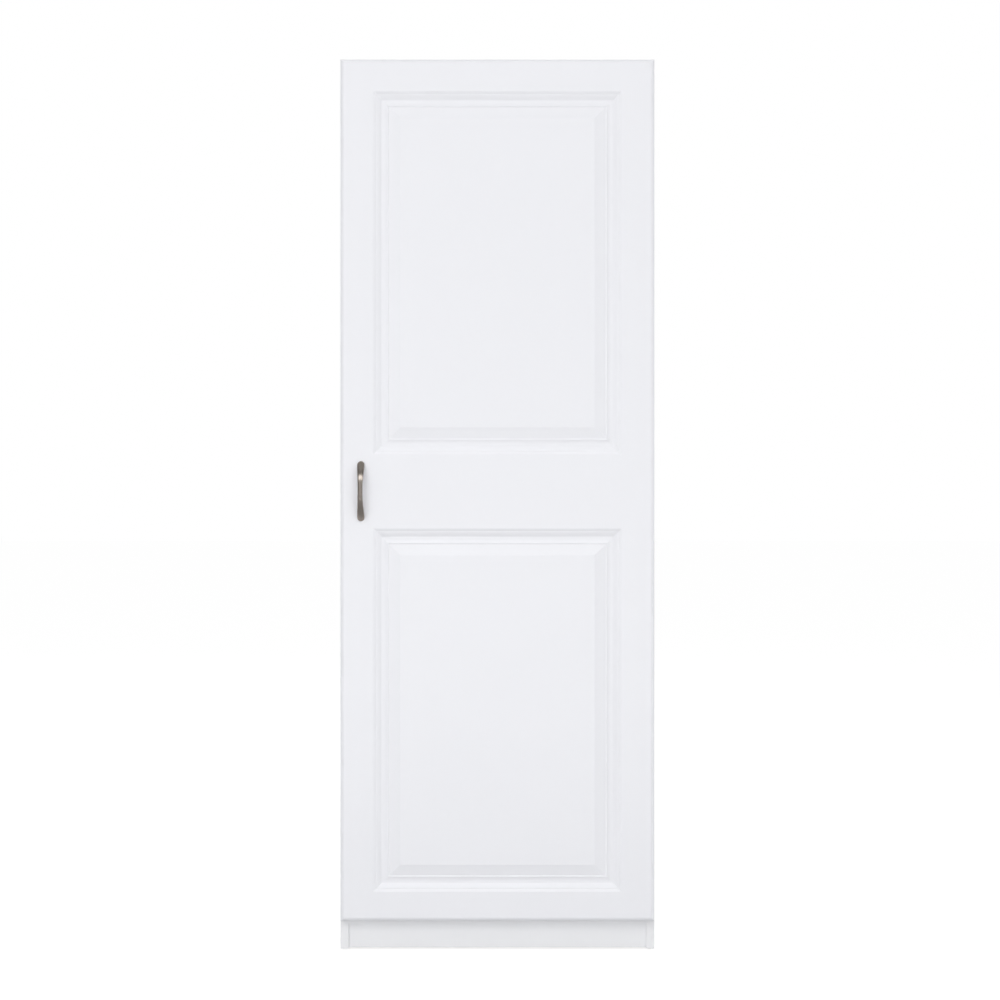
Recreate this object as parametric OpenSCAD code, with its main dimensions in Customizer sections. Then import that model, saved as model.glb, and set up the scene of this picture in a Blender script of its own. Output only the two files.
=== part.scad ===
// Tall utility cabinet with one moulded door, three shelves on pins and a plinth, in millimetres.
// +Z is up and the door faces -Y. The origin is on the floor under the middle of the whole cabinet.
// The modules below work from the carcass's front edges at y = 0, and in_frame() moves them into place.

/* [Carcass] */
// Width over the two side panels
cabinet_w = 610; // [450:1:900]
// Height from the floor to the top
cabinet_h = 1727; // [1500:1:2200]
// Depth from the side panels' front edges to the back panel's rear face
carcass_d = 453; // [300:1:620]
// Thickness of the melamine boards
board_t = 16; // [15:0.5:19]
// Thickness of the hardboard back
back_t = 3; // [2.5:0.5:5]
// Height of the bottom panel's underside above the floor
plinth_h = 50.5; // [45:0.5:120]
// Setback of the plinth board from the side panels' front edges
toe_recess = 4; // [0:0.5:60]
// Gap between the plinth board and the floor
toe_clear = 3.5; // [3:0.5:8]
// Thickness of the plastic glides under the side panels
glide_t = 2; // [1.5:0.5:3]
// Length of a glide
glide_l = 34; // [20:1:60]
// Distance of a glide's middle from the side panel's front or rear edge
glide_inset = 40; // [32:1:90]
// Height of the nail rail under the top panel
rail_h = 76; // [60:1:120]
// Distance between the two wall screws
stud_spacing = 406.4; // [300:0.1:410]
// Radius of the wall screws' holes
wall_hole_r = 2.75; // [2:0.25:4]

/* [Shelves] */
// Height of the fixed shelf's top above the floor
fixed_top = 901; // [850:1:960]
// Gap between a loose shelf's end and the side panel
shelf_gap = 1; // [0.5:0.25:2]
// Setback of a loose shelf from the side panels' front edges
shelf_setback = 12; // [5:1:20]
// Gap between a loose shelf and the back panel
shelf_back_gap = 2; // [1:0.5:6]
// Radius of a shelf pin's stem
pin_r = 2.45; // [2.2:0.05:2.8]
// Length of a shelf pin's stem inside the side panel
pin_stem_l = 9; // [7:0.5:10]
// Radius of a shelf pin's half-round head
pin_head_r = 4.5; // [3.5:0.25:5]
// Length of a shelf pin's head
pin_head_l = 8.5; // [7:0.5:12]
// Distance between the shelf-pin holes in a row
pin_pitch = 32; // [25:1:32]
// Holes above and below each loose shelf's own pin
spare_holes = 2; // [0:1:2]
// Distance of the front row of holes from the side panels' front edges
front_row = 37; // [30:1:45]
// Distance of the rear row of holes from the side panels' rear edges
rear_row = 50; // [30:1:80]

/* [Door] */
// Thickness of the door
door_t = 18; // [17:0.5:22]
// Gap between the door's back and the side panels' front edges
door_gap = 3; // [2.8:0.1:3.5]
// Reveal of the carcass beside and above the door
reveal = 1.5; // [1:0.25:2]
// Height of the door's bottom edge above the floor
door_bottom = 60.5; // [54:0.5:130]
// Width of the door's stiles beside the panels
stile_w = 63.5; // [58:0.5:90]
// Height of the door's top rail
top_rail = 62; // [50:0.5:90]
// Height of the door's middle rail
lock_rail = 143; // [100:1:200]
// Height of the door's bottom rail
bottom_rail = 57; // [50:0.5:90]
// Depth of the sloped front edge at the door's sides
edge_d = 5.2; // [4.5:0.1:6]
// Width of the sloped front edge
edge_w = 5.6; // [4.5:0.1:6.4]
// Depth of the small step before the sloped edge
edge_step = 0.5; // [0.3:0.1:0.8]
// Width of the sloped edge and its step
edge_band = 7; // [6.9:0.1:9]
// Thickness of a soft bumper
bumper_t = 2.7; // [2.3:0.1:2.8]
// Radius of a soft bumper
bumper_r = 5; // [3.5:0.25:6]

/* [Panel moulding] */
// Depth of the sloped step at the moulding's outer line
step_d = 2.5; // [1.5:0.1:3]
// Width of the sloped step
step_w = 5.4; // [4:0.1:6]
// Width to the end of the small ledge
ledge_w = 7; // [6.5:0.1:8]
// Width to the foot of the slope
slope_w = 15.4; // [13:0.1:17]
// Depth of the cove at its bottom
cove_d = 6.9; // [6:0.1:7.5]
// Width to the cove's bottom
cove_w = 19; // [18:0.1:22]
// Depth of the lip at the top of the cove's rise
lip_d = 4.4; // [3.5:0.1:5]
// Width to the lip
lip_w = 28.4; // [25:0.1:29.5]
// Width to the top of the bevel
bevel_w = 51; // [44:0.5:58]
// Depth of the bevel's top below the raised field
field_step = 0.3; // [0.1:0.1:1]

/* [Handle] */
// Distance between the handle's two screws
screw_spacing = 96; // [96:1:128]
// Length of the handle
handle_l = 116; // [112:1:150]
// Projection of the handle from the door
handle_out = 25; // [20:0.5:35]
// Thickness of the handle in its middle
handle_t = 7; // [5:0.5:9]
// Width of the handle's ends
handle_w = 13.5; // [11:0.5:18]
// Width of the handle's waist
waist_w = 9.2; // [7:0.1:11]
// Thickness of the handle's outer tips
tip_t = 2.4; // [1.5:0.1:4]
// Radius of the crown across the handle's front
crown_r = 15; // [9.5:0.5:30]
// Distance of the handle's centre line from the door's free edge
handle_inset = 40.3; // [30:0.1:50]
// Height of the handle's middle above the floor
handle_z = 891; // [840:1:950]

/* [Hinges] */
// Distance of the outer hinges from the door's ends
hinge_inset = 100; // [80:1:140]
// Height of the middle hinge above the fixed shelf's top
middle_hinge_up = 79; // [50:1:100]
// Radius of the cup
cup_r = 17.5; // [17.3:0.1:17.7]
// Depth of the cup in the door
cup_d = 12.6; // [12.5:0.1:13.5]
// Wood left between the cup's bore and the door's edge
cup_tab = 3; // [3:0.1:3.4]
// Distance of the pivot from the door's edge
pivot_inset = 7.1; // [7:0.05:7.3]
// Depth of the pivot below the door's back face
pivot_sink = 9; // [8.9:0.05:9.2]
// Radius of the pivot pin
pivot_r = 1; // [0.9:0.05:1.1]
// Radius of the arm's rolled knuckle
knuckle_r = 2; // [1.8:0.05:2.1]
// Width of the arm's nose
nose_w = 11; // [9:0.5:12]
// Thickness of the arm's nose
nose_t = 1.5; // [1.2:0.1:1.6]
// Distance of the arm's channel from the side panel
arm_stand = 9.5; // [8:0.5:11]
// Length of the arm's channel
arm_l = 62; // [58:1:70]

/* [Hidden] */
$fn = 48;

// Clearances: fit for a piece pressed or glued in its hole, running for a pin that turns, and
// cut for how far a cutter passes a face
fit = 0.05;
running = 0.05;
cut = 1;

// Colours
white_board = [0.94, 0.94, 0.94];
white_door = [0.93, 0.93, 0.95];
white_plastic = [0.9, 0.9, 0.9];
clear_bumper = [0.85, 0.87, 0.88];
hardboard = [0.55, 0.4, 0.27];
beech = [0.8, 0.66, 0.45];
satin_nickel = [0.56, 0.54, 0.51];
bright_steel = [0.72, 0.72, 0.73];
cast_zinc = [0.6, 0.6, 0.61];

// Carcass
side_d = carcass_d - back_t;
inner_w = cabinet_w - 2 * board_t;
side_h = cabinet_h - glide_t;
top_z = cabinet_h - board_t;
fixed_z = fixed_top - board_t;
panel_zs = [plinth_h, fixed_z, top_z];
panel_mid = board_t / 2;
rail_z = top_z - rail_h;
toe_z = toe_clear;
toe_h = plinth_h - toe_clear;
split_z = fixed_z + panel_mid;
back_edge = 1;
back_w = cabinet_w - 2 * back_edge;
back_bottom = plinth_h + back_edge;
mid_y = (carcass_d - door_gap - door_t - handle_out) / 2;
glide_margin = 2;
glide_w = board_t - 2 * glide_margin;

// Cams, bolts and dowels that join the horizontal boards to the sides
cam_inset = 50;
cam_reach = 34;
cam_r = 7.45;
cam_h = 12.3;
cam_slot = 3.6;
bolt_r = 2;
bolt_head_r = 3.2;
bolt_head_l = 3;
bolt_thread_r = 2.9;
bolt_thread_l = 10.5;
bolt_bore_r = 4;
cover_r = 8.5;
cover_t = 0.8;
cover_stem_r = 2.6;
cover_stem_l = 1.6;
recess_l = 5;
recess_w = 1.4;
recess_d = 1.2;
recess_share = 0.7;
cam_ys = [cam_inset, side_d - cam_inset];
dowel_r = 4;
dowel_l = 30;
dowel_side_l = 10;
dowel_step = 32;
dowel_ys = [cam_inset + dowel_step, side_d - cam_inset - dowel_step];
toe_dowel_off = 12;
rail_dowel_off = 22;
toe_y = toe_recess + board_t / 2;
rail_y = side_d - board_t / 2;
panel_dowels = [for (z = panel_zs, y = dowel_ys) [y, z + panel_mid]];
toe_dowels = [for (s = [-1, 1]) [toe_y, toe_z + toe_h / 2 + s * toe_dowel_off]];
rail_dowels = [for (s = [-1, 1]) [rail_y, rail_z + rail_h / 2 + s * rail_dowel_off]];
dowel_sites = concat(panel_dowels, toe_dowels, rail_dowels);

// Nails of the back panels
nail_r = 0.75;
nail_l = 18;
nail_head_r = 2.2;
nail_head_t = 0.6;
nail_pitch = 150;
nail_end = 24;
nail_off = 4;
nail_side_x = cabinet_w / 2 - board_t / 2;
nail_across = 4;
function nail_column(z0, z1) = let(n = max(1, round((z1 - z0 - 2 * nail_end) / nail_pitch)))
    [for (i = [0 : n], s = [-1, 1]) [s * nail_side_x, z0 + nail_end + i * (z1 - z0 - 2 * nail_end) / n]];
function nail_row(z) = let(w = inner_w - 2 * cam_inset)
    [for (i = [0 : nail_across - 1]) [-w / 2 + i * w / (nail_across - 1), z]];
upper_nails = concat(nail_column(split_z, cabinet_h - back_edge), nail_row(top_z + panel_mid),
    nail_row(split_z + nail_off));
lower_nails = concat(nail_column(back_bottom, split_z), nail_row(plinth_h + panel_mid),
    nail_row(split_z - nail_off));

// Loose shelves and their pins: one shelf halves the lower space and two split the upper one in
// three, each at the nearest hole of a row that starts at the board below
function snapped(span, share) = pin_pitch * round(span * share / pin_pitch);
bottom_top = plinth_h + board_t;
lower_shelf_z = bottom_top + snapped(fixed_z - bottom_top, 1 / 2);
middle_shelf_z = fixed_top + snapped(top_z - fixed_top, 1 / 3);
upper_shelf_z = fixed_top + snapped(top_z - fixed_top, 2 / 3);
shelf_zs = [lower_shelf_z, middle_shelf_z, upper_shelf_z];
shelf_w = inner_w - 2 * shelf_gap;
shelf_d = side_d - shelf_setback - shelf_back_gap;
pin_flat = 2.5;
pin_hole_d = 10;
row_ys = [front_row, side_d - rear_row];

// Door and its moulding
door_w = cabinet_w - 2 * reveal;
door_top = cabinet_h - reveal;
door_h = door_top - door_bottom;
door_back = -door_gap;
door_front = -door_gap - door_t;
door_edge = door_w / 2;
panel_w = door_w - 2 * stile_w;
panel_h = (door_h - top_rail - lock_rail - bottom_rail) / 2;
panel_z_centres = [door_bottom + bottom_rail + panel_h / 2, door_top - top_rail - panel_h / 2];
bow_steps = 6;
over = 0.5;
rim_w = 0.5;
rim_d = 0.15;
ledge_fall = 0.1;
slope_foot = 0.3;
groove_run = 2;
groove_fall = 0.9;
foot_run = 1.6;
foot_rise = 0.1;
field_w = 1.5;
step_bow = -0.15;
slope_bow = -0.3;
cove_bow = 0.12;
rise_bow = 0.65;
bevel_bow = 0.15;
nose_edge_w = 1;
nose_edge_d = 3.6;
nose_bow = -0.25;
edge_bow = -0.3;
edge_step_w = 0.4;
edge_fall = 0.2;
groove_w = lip_w + groove_run;
groove_d = lip_d + groove_fall;
mould_w = bevel_w + field_w;

// Stops of a profile: inset, depth below the door's face and how far the stretch up to the stop bows
function bowed(a, b) = let(n = b[2] == 0 ? 1 : bow_steps) [for (i = [1 : n]) let(t = i / n)
    [a[0] + (b[0] - a[0]) * t, -a[1] - (b[1] - a[1]) * t - 4 * b[2] * t * (1 - t)]];
function profile_line(stops) = [for (i = [1 : len(stops) - 1], p = bowed(stops[i - 1], stops[i])) p];
mould_stops = [
    [0, 0, 0], [rim_w, rim_d, 0], [step_w, step_d, step_bow], [ledge_w, step_d + ledge_fall, 0],
    [slope_w, cove_d - slope_foot, slope_bow], [cove_w, cove_d, cove_bow], [lip_w, lip_d, rise_bow],
    [groove_w, groove_d, 0], [groove_w + foot_run, groove_d - foot_rise, 0],
    [bevel_w, field_step, bevel_bow], [mould_w, 0, 0]
];
edge_stops = [
    [0, edge_d, 0], [nose_edge_w, nose_edge_d, nose_bow], [edge_w, edge_step + edge_fall, edge_bow],
    [edge_band - edge_step_w, edge_step, 0], [edge_band, 0, 0]
];
mould_points = concat([[0, over], [0, 0]], profile_line(mould_stops), [[mould_w, over]]);
edge_points = concat([[-cut, over], [-cut, -edge_d], [0, -edge_d]], profile_line(edge_stops),
    [[edge_band, over]]);

// Handle
handle_x = -door_edge + handle_inset;
outer_rise = handle_out - tip_t;
outer_arc_r = (pow(handle_l / 2, 2) + pow(outer_rise, 2)) / (2 * outer_rise);
foot_l = 17;
grip_l = handle_l - 2 * foot_l;
inner_rise = handle_out - handle_t;
inner_arc_r = (pow(grip_l / 2, 2) + pow(inner_rise, 2)) / (2 * inner_rise);
waist_cut = (handle_w - waist_w) / 2;
waist_arc_r = (pow(screw_spacing / 2, 2) + pow(waist_cut, 2)) / (2 * waist_cut);
handle_screw_r = 2;
handle_screw_in = 7;
handle_hole_r = 2.3;
handle_head_r = 4;
handle_head_t = 2;

// Hinges
hinge_zs = [door_bottom + hinge_inset, fixed_top + middle_hinge_up, door_top - hinge_inset];
pivot_x = door_edge - pivot_inset;
pivot_y = door_back - pivot_sink;
cup_x = door_edge - cup_tab - cup_r;
cup_wall = 0.8;
flange_t = 1;
flange_lip = 1.1;
wing_off = 9.5;
wing_spacing = 45;
wing_r = 6.5;
cheek_gap = 0.5;
cheek_x = pivot_x - cup_x - 2 * knuckle_r;
cheek_up = 2.2;
pin_grip = 2.5;
pin_l = nose_w + 2 * (cheek_gap + pin_grip);
cup_screw_r = 1.6;
cup_screw_l = 12;
cup_head_r = 3.3;
cup_head_t = 0.9;
cam_slot_w = 4.2;
pin_cam_r = 1.8;
pin_cam_w = 3.4;
hook_l = 13;
hook_drop = 1.7;
hook_a = atan(hook_drop / hook_l);
channel_x = inner_w / 2 - arm_stand;
channel_t = 1.2;
channel_w = 18;
channel_y = 1.5;
channel_flange = 6.5;
plate_t = 2;
plate_y = front_row;
plate_wing_r = 7;
plate_spacing = 32;
bridge_w = 14.6;
bridge_y = 17;
bridge_l = 44;
plate_screw_r = 2.4;
plate_screw_l = 11;
plate_head_r = 4;
plate_head_t = 1.5;
fixing_y = 52;
adjusting_y = 26;
arm_screw_r = 2;
arm_head_r = 3.6;
arm_head_t = 1.8;
arm_screw_in = 5;
spring_t = 0.5;
spring_w = 3.4;
spring_gap = 0.3;
spring_start = 2;
spring_bend = 2.2 * knuckle_r;

// From the carcass's front edges into the cabinet's own frame
module in_frame() translate([0, -mid_y, 0]) children();

// Left and right copies, where +x points out of the cabinet
module both_sides() for (s = [0, 1]) mirror([s, 0, 0]) children();

// A rod along +x, +y or +z from the origin
module rod_x(r, l) rotate([0, 90, 0]) cylinder(r = r, h = l);
module rod_y(r, l) rotate([-90, 0, 0]) cylinder(r = r, h = l);

// A cross recess to be cut in a head whose face is at z = 0
module cross_recess() {
    for (a = [0, 90]) rotate([0, 0, a])
        translate([-recess_l / 2, -recess_w / 2, -recess_d]) cube([recess_l, recess_w, recess_d + cut]);
}

// A screw with its head's face at z = 0 and its shank downwards
module screw(shank_r, shank_l, head_r, head_t) {
    difference() {
        translate([0, 0, -head_t]) cylinder(r = head_r, h = head_t);
        intersection() {
            cross_recess();
            translate([0, 0, -head_t / 2]) cylinder(r = head_r * recess_share, h = head_t);
        }
    }
    translate([0, 0, -head_t - shank_l]) cylinder(r = shank_r, h = shank_l);
}

// Holes in the sides and board ends for the cams' bolts and the dowels
module bolt_side_holes() {
    for (z = panel_zs, y = cam_ys) translate([inner_w / 2 - cut, y, z + panel_mid])
        rod_x(bolt_thread_r + fit, bolt_thread_l + cut + fit);
}
module dowel_holes(sites) {
    for (p = sites) translate([inner_w / 2 + dowel_side_l - dowel_l - fit, p[0], p[1]])
        rod_x(dowel_r + fit, dowel_l + 2 * fit);
}

module nail_holes(sites) {
    for (p = sites) translate([p[0], carcass_d, p[1]]) rotate([90, 0, 0]) {
        translate([0, 0, -cut]) cylinder(r = nail_r + fit, h = nail_l + cut);
        translate([0, 0, -cut]) cylinder(r = nail_head_r + fit, h = nail_head_t + cut);
    }
}

module pin_holes() {
    for (z = shelf_zs, i = [-spare_holes : spare_holes], y = row_ys)
        translate([inner_w / 2 - cut, y, z - pin_flat + i * pin_pitch]) rod_x(pin_r + fit, pin_hole_d + cut);
}

// One side panel, drawn on the right; the hinged one has the mounting plates' holes too
module side_panel(hinged) {
    difference() {
        translate([inner_w / 2, 0, glide_t]) cube([board_t, side_d, side_h]);
        bolt_side_holes();
        dowel_holes(dowel_sites);
        pin_holes();
        nail_holes([for (p = concat(upper_nails, lower_nails)) if (p[0] > inner_w / 2) p]);
        if (hinged) for (z = hinge_zs) plate_screw_places(z) translate([0, 0, -plate_t - plate_screw_l])
            cylinder(r = plate_screw_r + fit, h = plate_t + plate_screw_l);
    }
}
module side_panel_left() in_frame() color(white_board) mirror([1, 0, 0]) side_panel(false);
module side_panel_right() in_frame() color(white_board) side_panel(true);

// A horizontal board between the sides, with its cam pockets open downwards
module cross_board(z) {
    difference() {
        translate([-inner_w / 2, 0, z]) cube([inner_w, side_d, board_t]);
        both_sides() {
            for (y = cam_ys) {
                translate([inner_w / 2 - cam_reach, y, z - cut])
                    cylinder(r = cam_r + fit, h = cam_h + cut + fit);
                translate([inner_w / 2 - cam_reach, y, z + panel_mid]) rod_x(bolt_bore_r, cam_reach + cut);
            }
            dowel_holes([for (y = dowel_ys) [y, z + panel_mid]]);
        }
        nail_holes([for (p = concat(upper_nails, lower_nails)) if (abs(p[0]) < inner_w / 2) p]);
    }
}
module top_panel() in_frame() color(white_board) cross_board(top_z);
module bottom_panel() in_frame() color(white_board) cross_board(plinth_h);
module fixed_shelf() in_frame() color(white_board) cross_board(fixed_z);

module toe_kick() in_frame() color(white_board) difference() {
    translate([-inner_w / 2, toe_recess, toe_z]) cube([inner_w, board_t, toe_h]);
    both_sides() dowel_holes(toe_dowels);
}

module wall_holes() {
    for (s = [-1, 1]) translate([s * stud_spacing / 2, rail_y - board_t, rail_z + rail_h / 2])
        rod_y(wall_hole_r, 2 * board_t + back_t + cut);
}
module nail_rail() in_frame() color(white_board) difference() {
    translate([-inner_w / 2, side_d - board_t, rail_z]) cube([inner_w, board_t, rail_h]);
    both_sides() dowel_holes(rail_dowels);
    wall_holes();
}

module back_sheet(z0, z1, nails) color(hardboard) difference() {
    translate([-back_w / 2, side_d, z0]) cube([back_w, back_t, z1 - z0]);
    nail_holes(nails);
    wall_holes();
}
module back_panel_upper() in_frame() back_sheet(split_z, cabinet_h - back_edge, upper_nails);
module back_panel_lower() in_frame() back_sheet(back_bottom, split_z, lower_nails);

module foot_glides() in_frame() color(white_plastic) both_sides()
    for (y = [glide_inset, side_d - glide_inset])
        translate([inner_w / 2 + board_t / 2, y, 0]) linear_extrude(glide_t) {
            square([glide_w, glide_l - glide_w], center = true);
            for (s = [-1, 1]) translate([0, s * (glide_l - glide_w) / 2]) circle(glide_w / 2);
        }

// Cams, bolts, covers and dowels, drawn at the end of a board whose mid height is z
module at_joints(ys) both_sides() for (z = panel_zs, y = ys)
    translate([inner_w / 2, y, z + panel_mid]) children();
module cam_housings() in_frame() color(cast_zinc) at_joints(cam_ys) translate([-cam_reach, 0, -panel_mid])
    difference() {
        cylinder(r = cam_r, h = cam_h);
        translate([-cam_slot, -cam_slot, panel_mid - cam_slot])
            cube([cam_slot + cam_r + cut, 2 * cam_slot, 2 * cam_slot]);
        mirror([0, 0, 1]) cross_recess();
        translate([0, 0, -cut]) cylinder(r = cover_stem_r + fit, h = cut + cover_stem_l + fit);
    }
module cam_bolts() in_frame() color(bright_steel) at_joints(cam_ys) {
    rod_x(bolt_thread_r, bolt_thread_l);
    translate([-cam_reach, 0, 0]) rod_x(bolt_r, cam_reach + fit);
    translate([-cam_reach - bolt_head_l / 2, 0, 0]) rod_x(bolt_head_r, bolt_head_l);
}
module cam_covers() in_frame() color(white_plastic) both_sides() for (z = [fixed_z, top_z], y = cam_ys)
    translate([inner_w / 2 - cam_reach, y, z]) {
        translate([0, 0, -cover_t]) cylinder(r = cover_r, h = cover_t);
        translate([0, 0, -cover_t]) cylinder(r = cover_stem_r, h = cover_t + cover_stem_l);
    }
module wood_dowels() in_frame() color(beech) both_sides() for (p = dowel_sites)
    translate([inner_w / 2 + dowel_side_l - dowel_l, p[0], p[1]]) rod_x(dowel_r, dowel_l);
module back_panel_nails() in_frame() color(bright_steel) for (p = concat(upper_nails, lower_nails))
    translate([p[0], carcass_d, p[1]]) rotate([90, 0, 0]) {
        cylinder(r = nail_r, h = nail_l - fit);
        cylinder(r = nail_head_r, h = nail_head_t);
    }

// A shelf pin: a round stem in the side panel and a half-round head under the shelf
module shelf_pin() {
    translate([0, 0, -pin_flat]) rod_x(pin_r, pin_stem_l);
    intersection() {
        translate([-pin_head_l, 0, -pin_flat]) rod_x(pin_head_r, pin_head_l);
        translate([-pin_head_l, -pin_head_r, -pin_flat - pin_head_r])
            cube([pin_head_l, 2 * pin_head_r, pin_flat + pin_head_r]);
    }
}
module shelf_pins() in_frame() color(bright_steel) both_sides() for (z = shelf_zs, y = row_ys)
    translate([inner_w / 2, y, z]) shelf_pin();

module loose_shelf(z) in_frame() color(white_board)
    translate([-shelf_w / 2, shelf_setback, z]) cube([shelf_w, shelf_d, board_t]);

// One side of a panel's moulding, mitred at both ends, as a cutter below z = 0
module moulding_run(run_l) intersection() {
    rotate([90, 0, 90]) translate([0, 0, -run_l / 2]) linear_extrude(run_l) polygon(mould_points);
    translate([0, 0, -cove_d - cut]) linear_extrude(cove_d + 2 * cut)
        polygon([[-run_l / 2, 0], [run_l / 2, 0],
            [run_l / 2 - mould_w, mould_w], [-run_l / 2 + mould_w, mould_w]]);
}
module moulding_ring(w, h) {
    for (a = [0, 180]) rotate([0, 0, a]) translate([0, -h / 2, 0]) moulding_run(w);
    for (a = [90, 270]) rotate([0, 0, a]) translate([0, -w / 2, 0]) moulding_run(h);
}
module edge_run(run_l) rotate([90, 0, 90]) translate([0, 0, -run_l / 2 - cut])
    linear_extrude(run_l + 2 * cut) polygon(edge_points);
module edge_ring(w, h) {
    for (a = [0, 180]) rotate([0, 0, a]) translate([0, -h / 2, 0]) edge_run(w);
    for (a = [90, 270]) rotate([0, 0, a]) translate([0, -w / 2, 0]) edge_run(h);
}

module door_slab() in_frame() color(white_door) difference() {
    translate([-door_edge, door_front, door_bottom]) cube([door_w, door_t, door_h]);
    translate([0, door_front, door_bottom + door_h / 2]) rotate([90, 0, 0]) edge_ring(door_w, door_h);
    for (z = panel_z_centres) translate([0, door_front, z]) rotate([90, 0, 0])
        moulding_ring(panel_w, panel_h);
    for (s = [-1, 1]) translate([handle_x, door_front - cut, handle_z + s * screw_spacing / 2])
        rod_y(handle_hole_r, door_t + 2 * cut);
    for (z = hinge_zs) {
        translate([cup_x, door_back - cup_d - fit, z]) rod_y(cup_r, cup_d + fit + cut);
        for (s = [-1, 1]) translate([cup_x - wing_off, door_back - cup_screw_l, z + s * wing_spacing / 2])
            rod_y(cup_screw_r + fit, cup_screw_l + cut);
    }
}

// The handle's side outline, in the plane of its length and its projection
module handle_side() difference() {
    intersection() {
        translate([-handle_l / 2, 0]) square([handle_l, handle_out]);
        translate([0, handle_out - outer_arc_r]) circle(outer_arc_r, $fn = 200);
    }
    translate([0, handle_out - handle_t - inner_arc_r]) circle(inner_arc_r, $fn = 200);
}
// The handle's front outline: round ends and a waist
module handle_front() difference() {
    union() {
        square([handle_w, handle_l - handle_w], center = true);
        for (s = [-1, 1]) translate([0, s * (handle_l - handle_w) / 2]) circle(handle_w / 2);
    }
    for (s = [-1, 1]) translate([s * (waist_w / 2 + waist_arc_r), 0]) circle(waist_arc_r, $fn = 200);
}
// A wheel about the arc's own centre, whose crowned rim rounds the handle's front
module handle_crown() translate([0, outer_arc_r - handle_out, 0]) rotate([0, 90, 0])
    rotate_extrude($fn = 200) {
        translate([0, -crown_r]) square([outer_arc_r - crown_r, 2 * crown_r]);
        translate([outer_arc_r - crown_r, 0]) intersection() {
            circle(crown_r);
            translate([0, -crown_r]) square([crown_r, 2 * crown_r]);
        }
    }
module door_handle() in_frame() color(satin_nickel) translate([handle_x, door_front, handle_z])
    difference() {
        intersection() {
            translate([-handle_w / 2, 0, 0]) rotate([90, 0, 90]) linear_extrude(handle_w)
                rotate([0, 0, 90]) handle_side();
            rotate([90, 0, 0]) linear_extrude(handle_out) handle_front();
            handle_crown();
        }
        for (s = [-1, 1]) translate([0, -handle_screw_in - fit, s * screw_spacing / 2])
            rod_y(handle_screw_r + fit, handle_screw_in + fit + cut);
    }
module handle_screws() in_frame() color(bright_steel) for (s = [-1, 1])
    translate([handle_x, door_back + handle_head_t, handle_z + s * screw_spacing / 2]) rotate([-90, 0, 0])
        screw(handle_screw_r, door_t + handle_screw_in, handle_head_r, handle_head_t);

module door_bumpers() in_frame() color(clear_bumper)
    for (z = [door_bottom + hinge_inset / 2, door_top - hinge_inset / 2])
        translate([-inner_w / 2 - board_t / 2, door_back, z]) rod_y(bumper_r, bumper_t);

// The hinge's cup, sunk in the door's back: a screw wing above and below, and two cheeks for the pin
module cup_wing_holes(r, l) for (s = [-1, 1]) translate([-wing_off, 0, s * wing_spacing / 2]) rod_y(r, l);
module hinge_cup(z) in_frame() color(bright_steel) translate([cup_x, door_back, z]) difference() {
    union() {
        translate([0, -cup_d, 0]) rod_y(cup_r - fit, cup_d + flange_t);
        rod_y(cup_r + flange_lip, flange_t);
        translate([-wing_off - wing_r, 0, -wing_spacing / 2]) cube([2 * wing_r, flange_t, wing_spacing]);
        cup_wing_holes(wing_r, flange_t);
    }
    difference() {
        translate([0, -cup_d + cup_wall, 0]) rod_y(cup_r - fit - cup_wall, cup_d + flange_t);
        for (s = [0, 1]) mirror([0, 0, s]) translate([cheek_x, -cup_d, nose_w / 2 + cheek_gap])
            cube([cup_r, cup_d - pivot_sink + cheek_up, cup_r]);
    }
    translate([0, -cut, 0]) cup_wing_holes(cup_screw_r + fit, flange_t + 2 * cut);
    translate([pivot_x - cup_x, -pivot_sink, -pin_l / 2 - fit])
        cylinder(r = pivot_r + fit, h = pin_l + 2 * fit);
}
// The pivot pin between the cup's walls, with the round cam that the closing spring rides on
module hinge_pin(z) in_frame() color(bright_steel) translate([pivot_x, pivot_y, z]) {
    translate([0, 0, -pin_l / 2]) cylinder(r = pivot_r, h = pin_l);
    translate([0, 0, -pin_cam_w / 2]) cylinder(r = pin_cam_r, h = pin_cam_w);
}

// A flat bar between two points, with round ends
module bar(a, b, t) {
    d = b - a;
    translate(a) rotate(atan2(d[1], d[0])) translate([0, -t / 2]) square([norm(d), t]);
    translate(a) circle(t / 2);
    translate(b) circle(t / 2);
}
hook_end = [pivot_x - hook_l, pivot_y - hook_drop];
channel_mid = channel_x - channel_t / 2;
module hinge_arm(z) in_frame() color(bright_steel) translate([0, 0, z]) difference() {
    union() {
        translate([0, 0, -nose_w / 2]) linear_extrude(nose_w) {
            bar([pivot_x, pivot_y], hook_end, nose_t);
            bar(hook_end, [channel_mid, channel_y + nose_t], nose_t);
        }
        translate([pivot_x, pivot_y, -nose_w / 2]) cylinder(r = knuckle_r, h = nose_w);
        translate([channel_x - channel_t, channel_y, -channel_w / 2]) cube([channel_t, arm_l, channel_w]);
        for (s = [0, 1]) mirror([0, 0, s])
            translate([channel_x - channel_t, channel_y, channel_w / 2 - channel_t])
                cube([channel_flange, arm_l, channel_t]);
    }
    translate([pivot_x, pivot_y, -nose_w]) cylinder(r = pivot_r + running, h = 2 * nose_w);
    translate([pivot_x, pivot_y, -cam_slot_w / 2]) rotate([0, 0, hook_a])
        translate([-2 * knuckle_r - spring_gap, -knuckle_r - cut, 0])
            cube([3 * knuckle_r + cut + spring_gap, 2 * knuckle_r + 2 * cut, cam_slot_w]);
    for (y = [fixing_y, adjusting_y]) translate([channel_x - channel_t - cut, y, 0])
        rod_x(arm_screw_r + fit, channel_t + 2 * cut);
}

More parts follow.
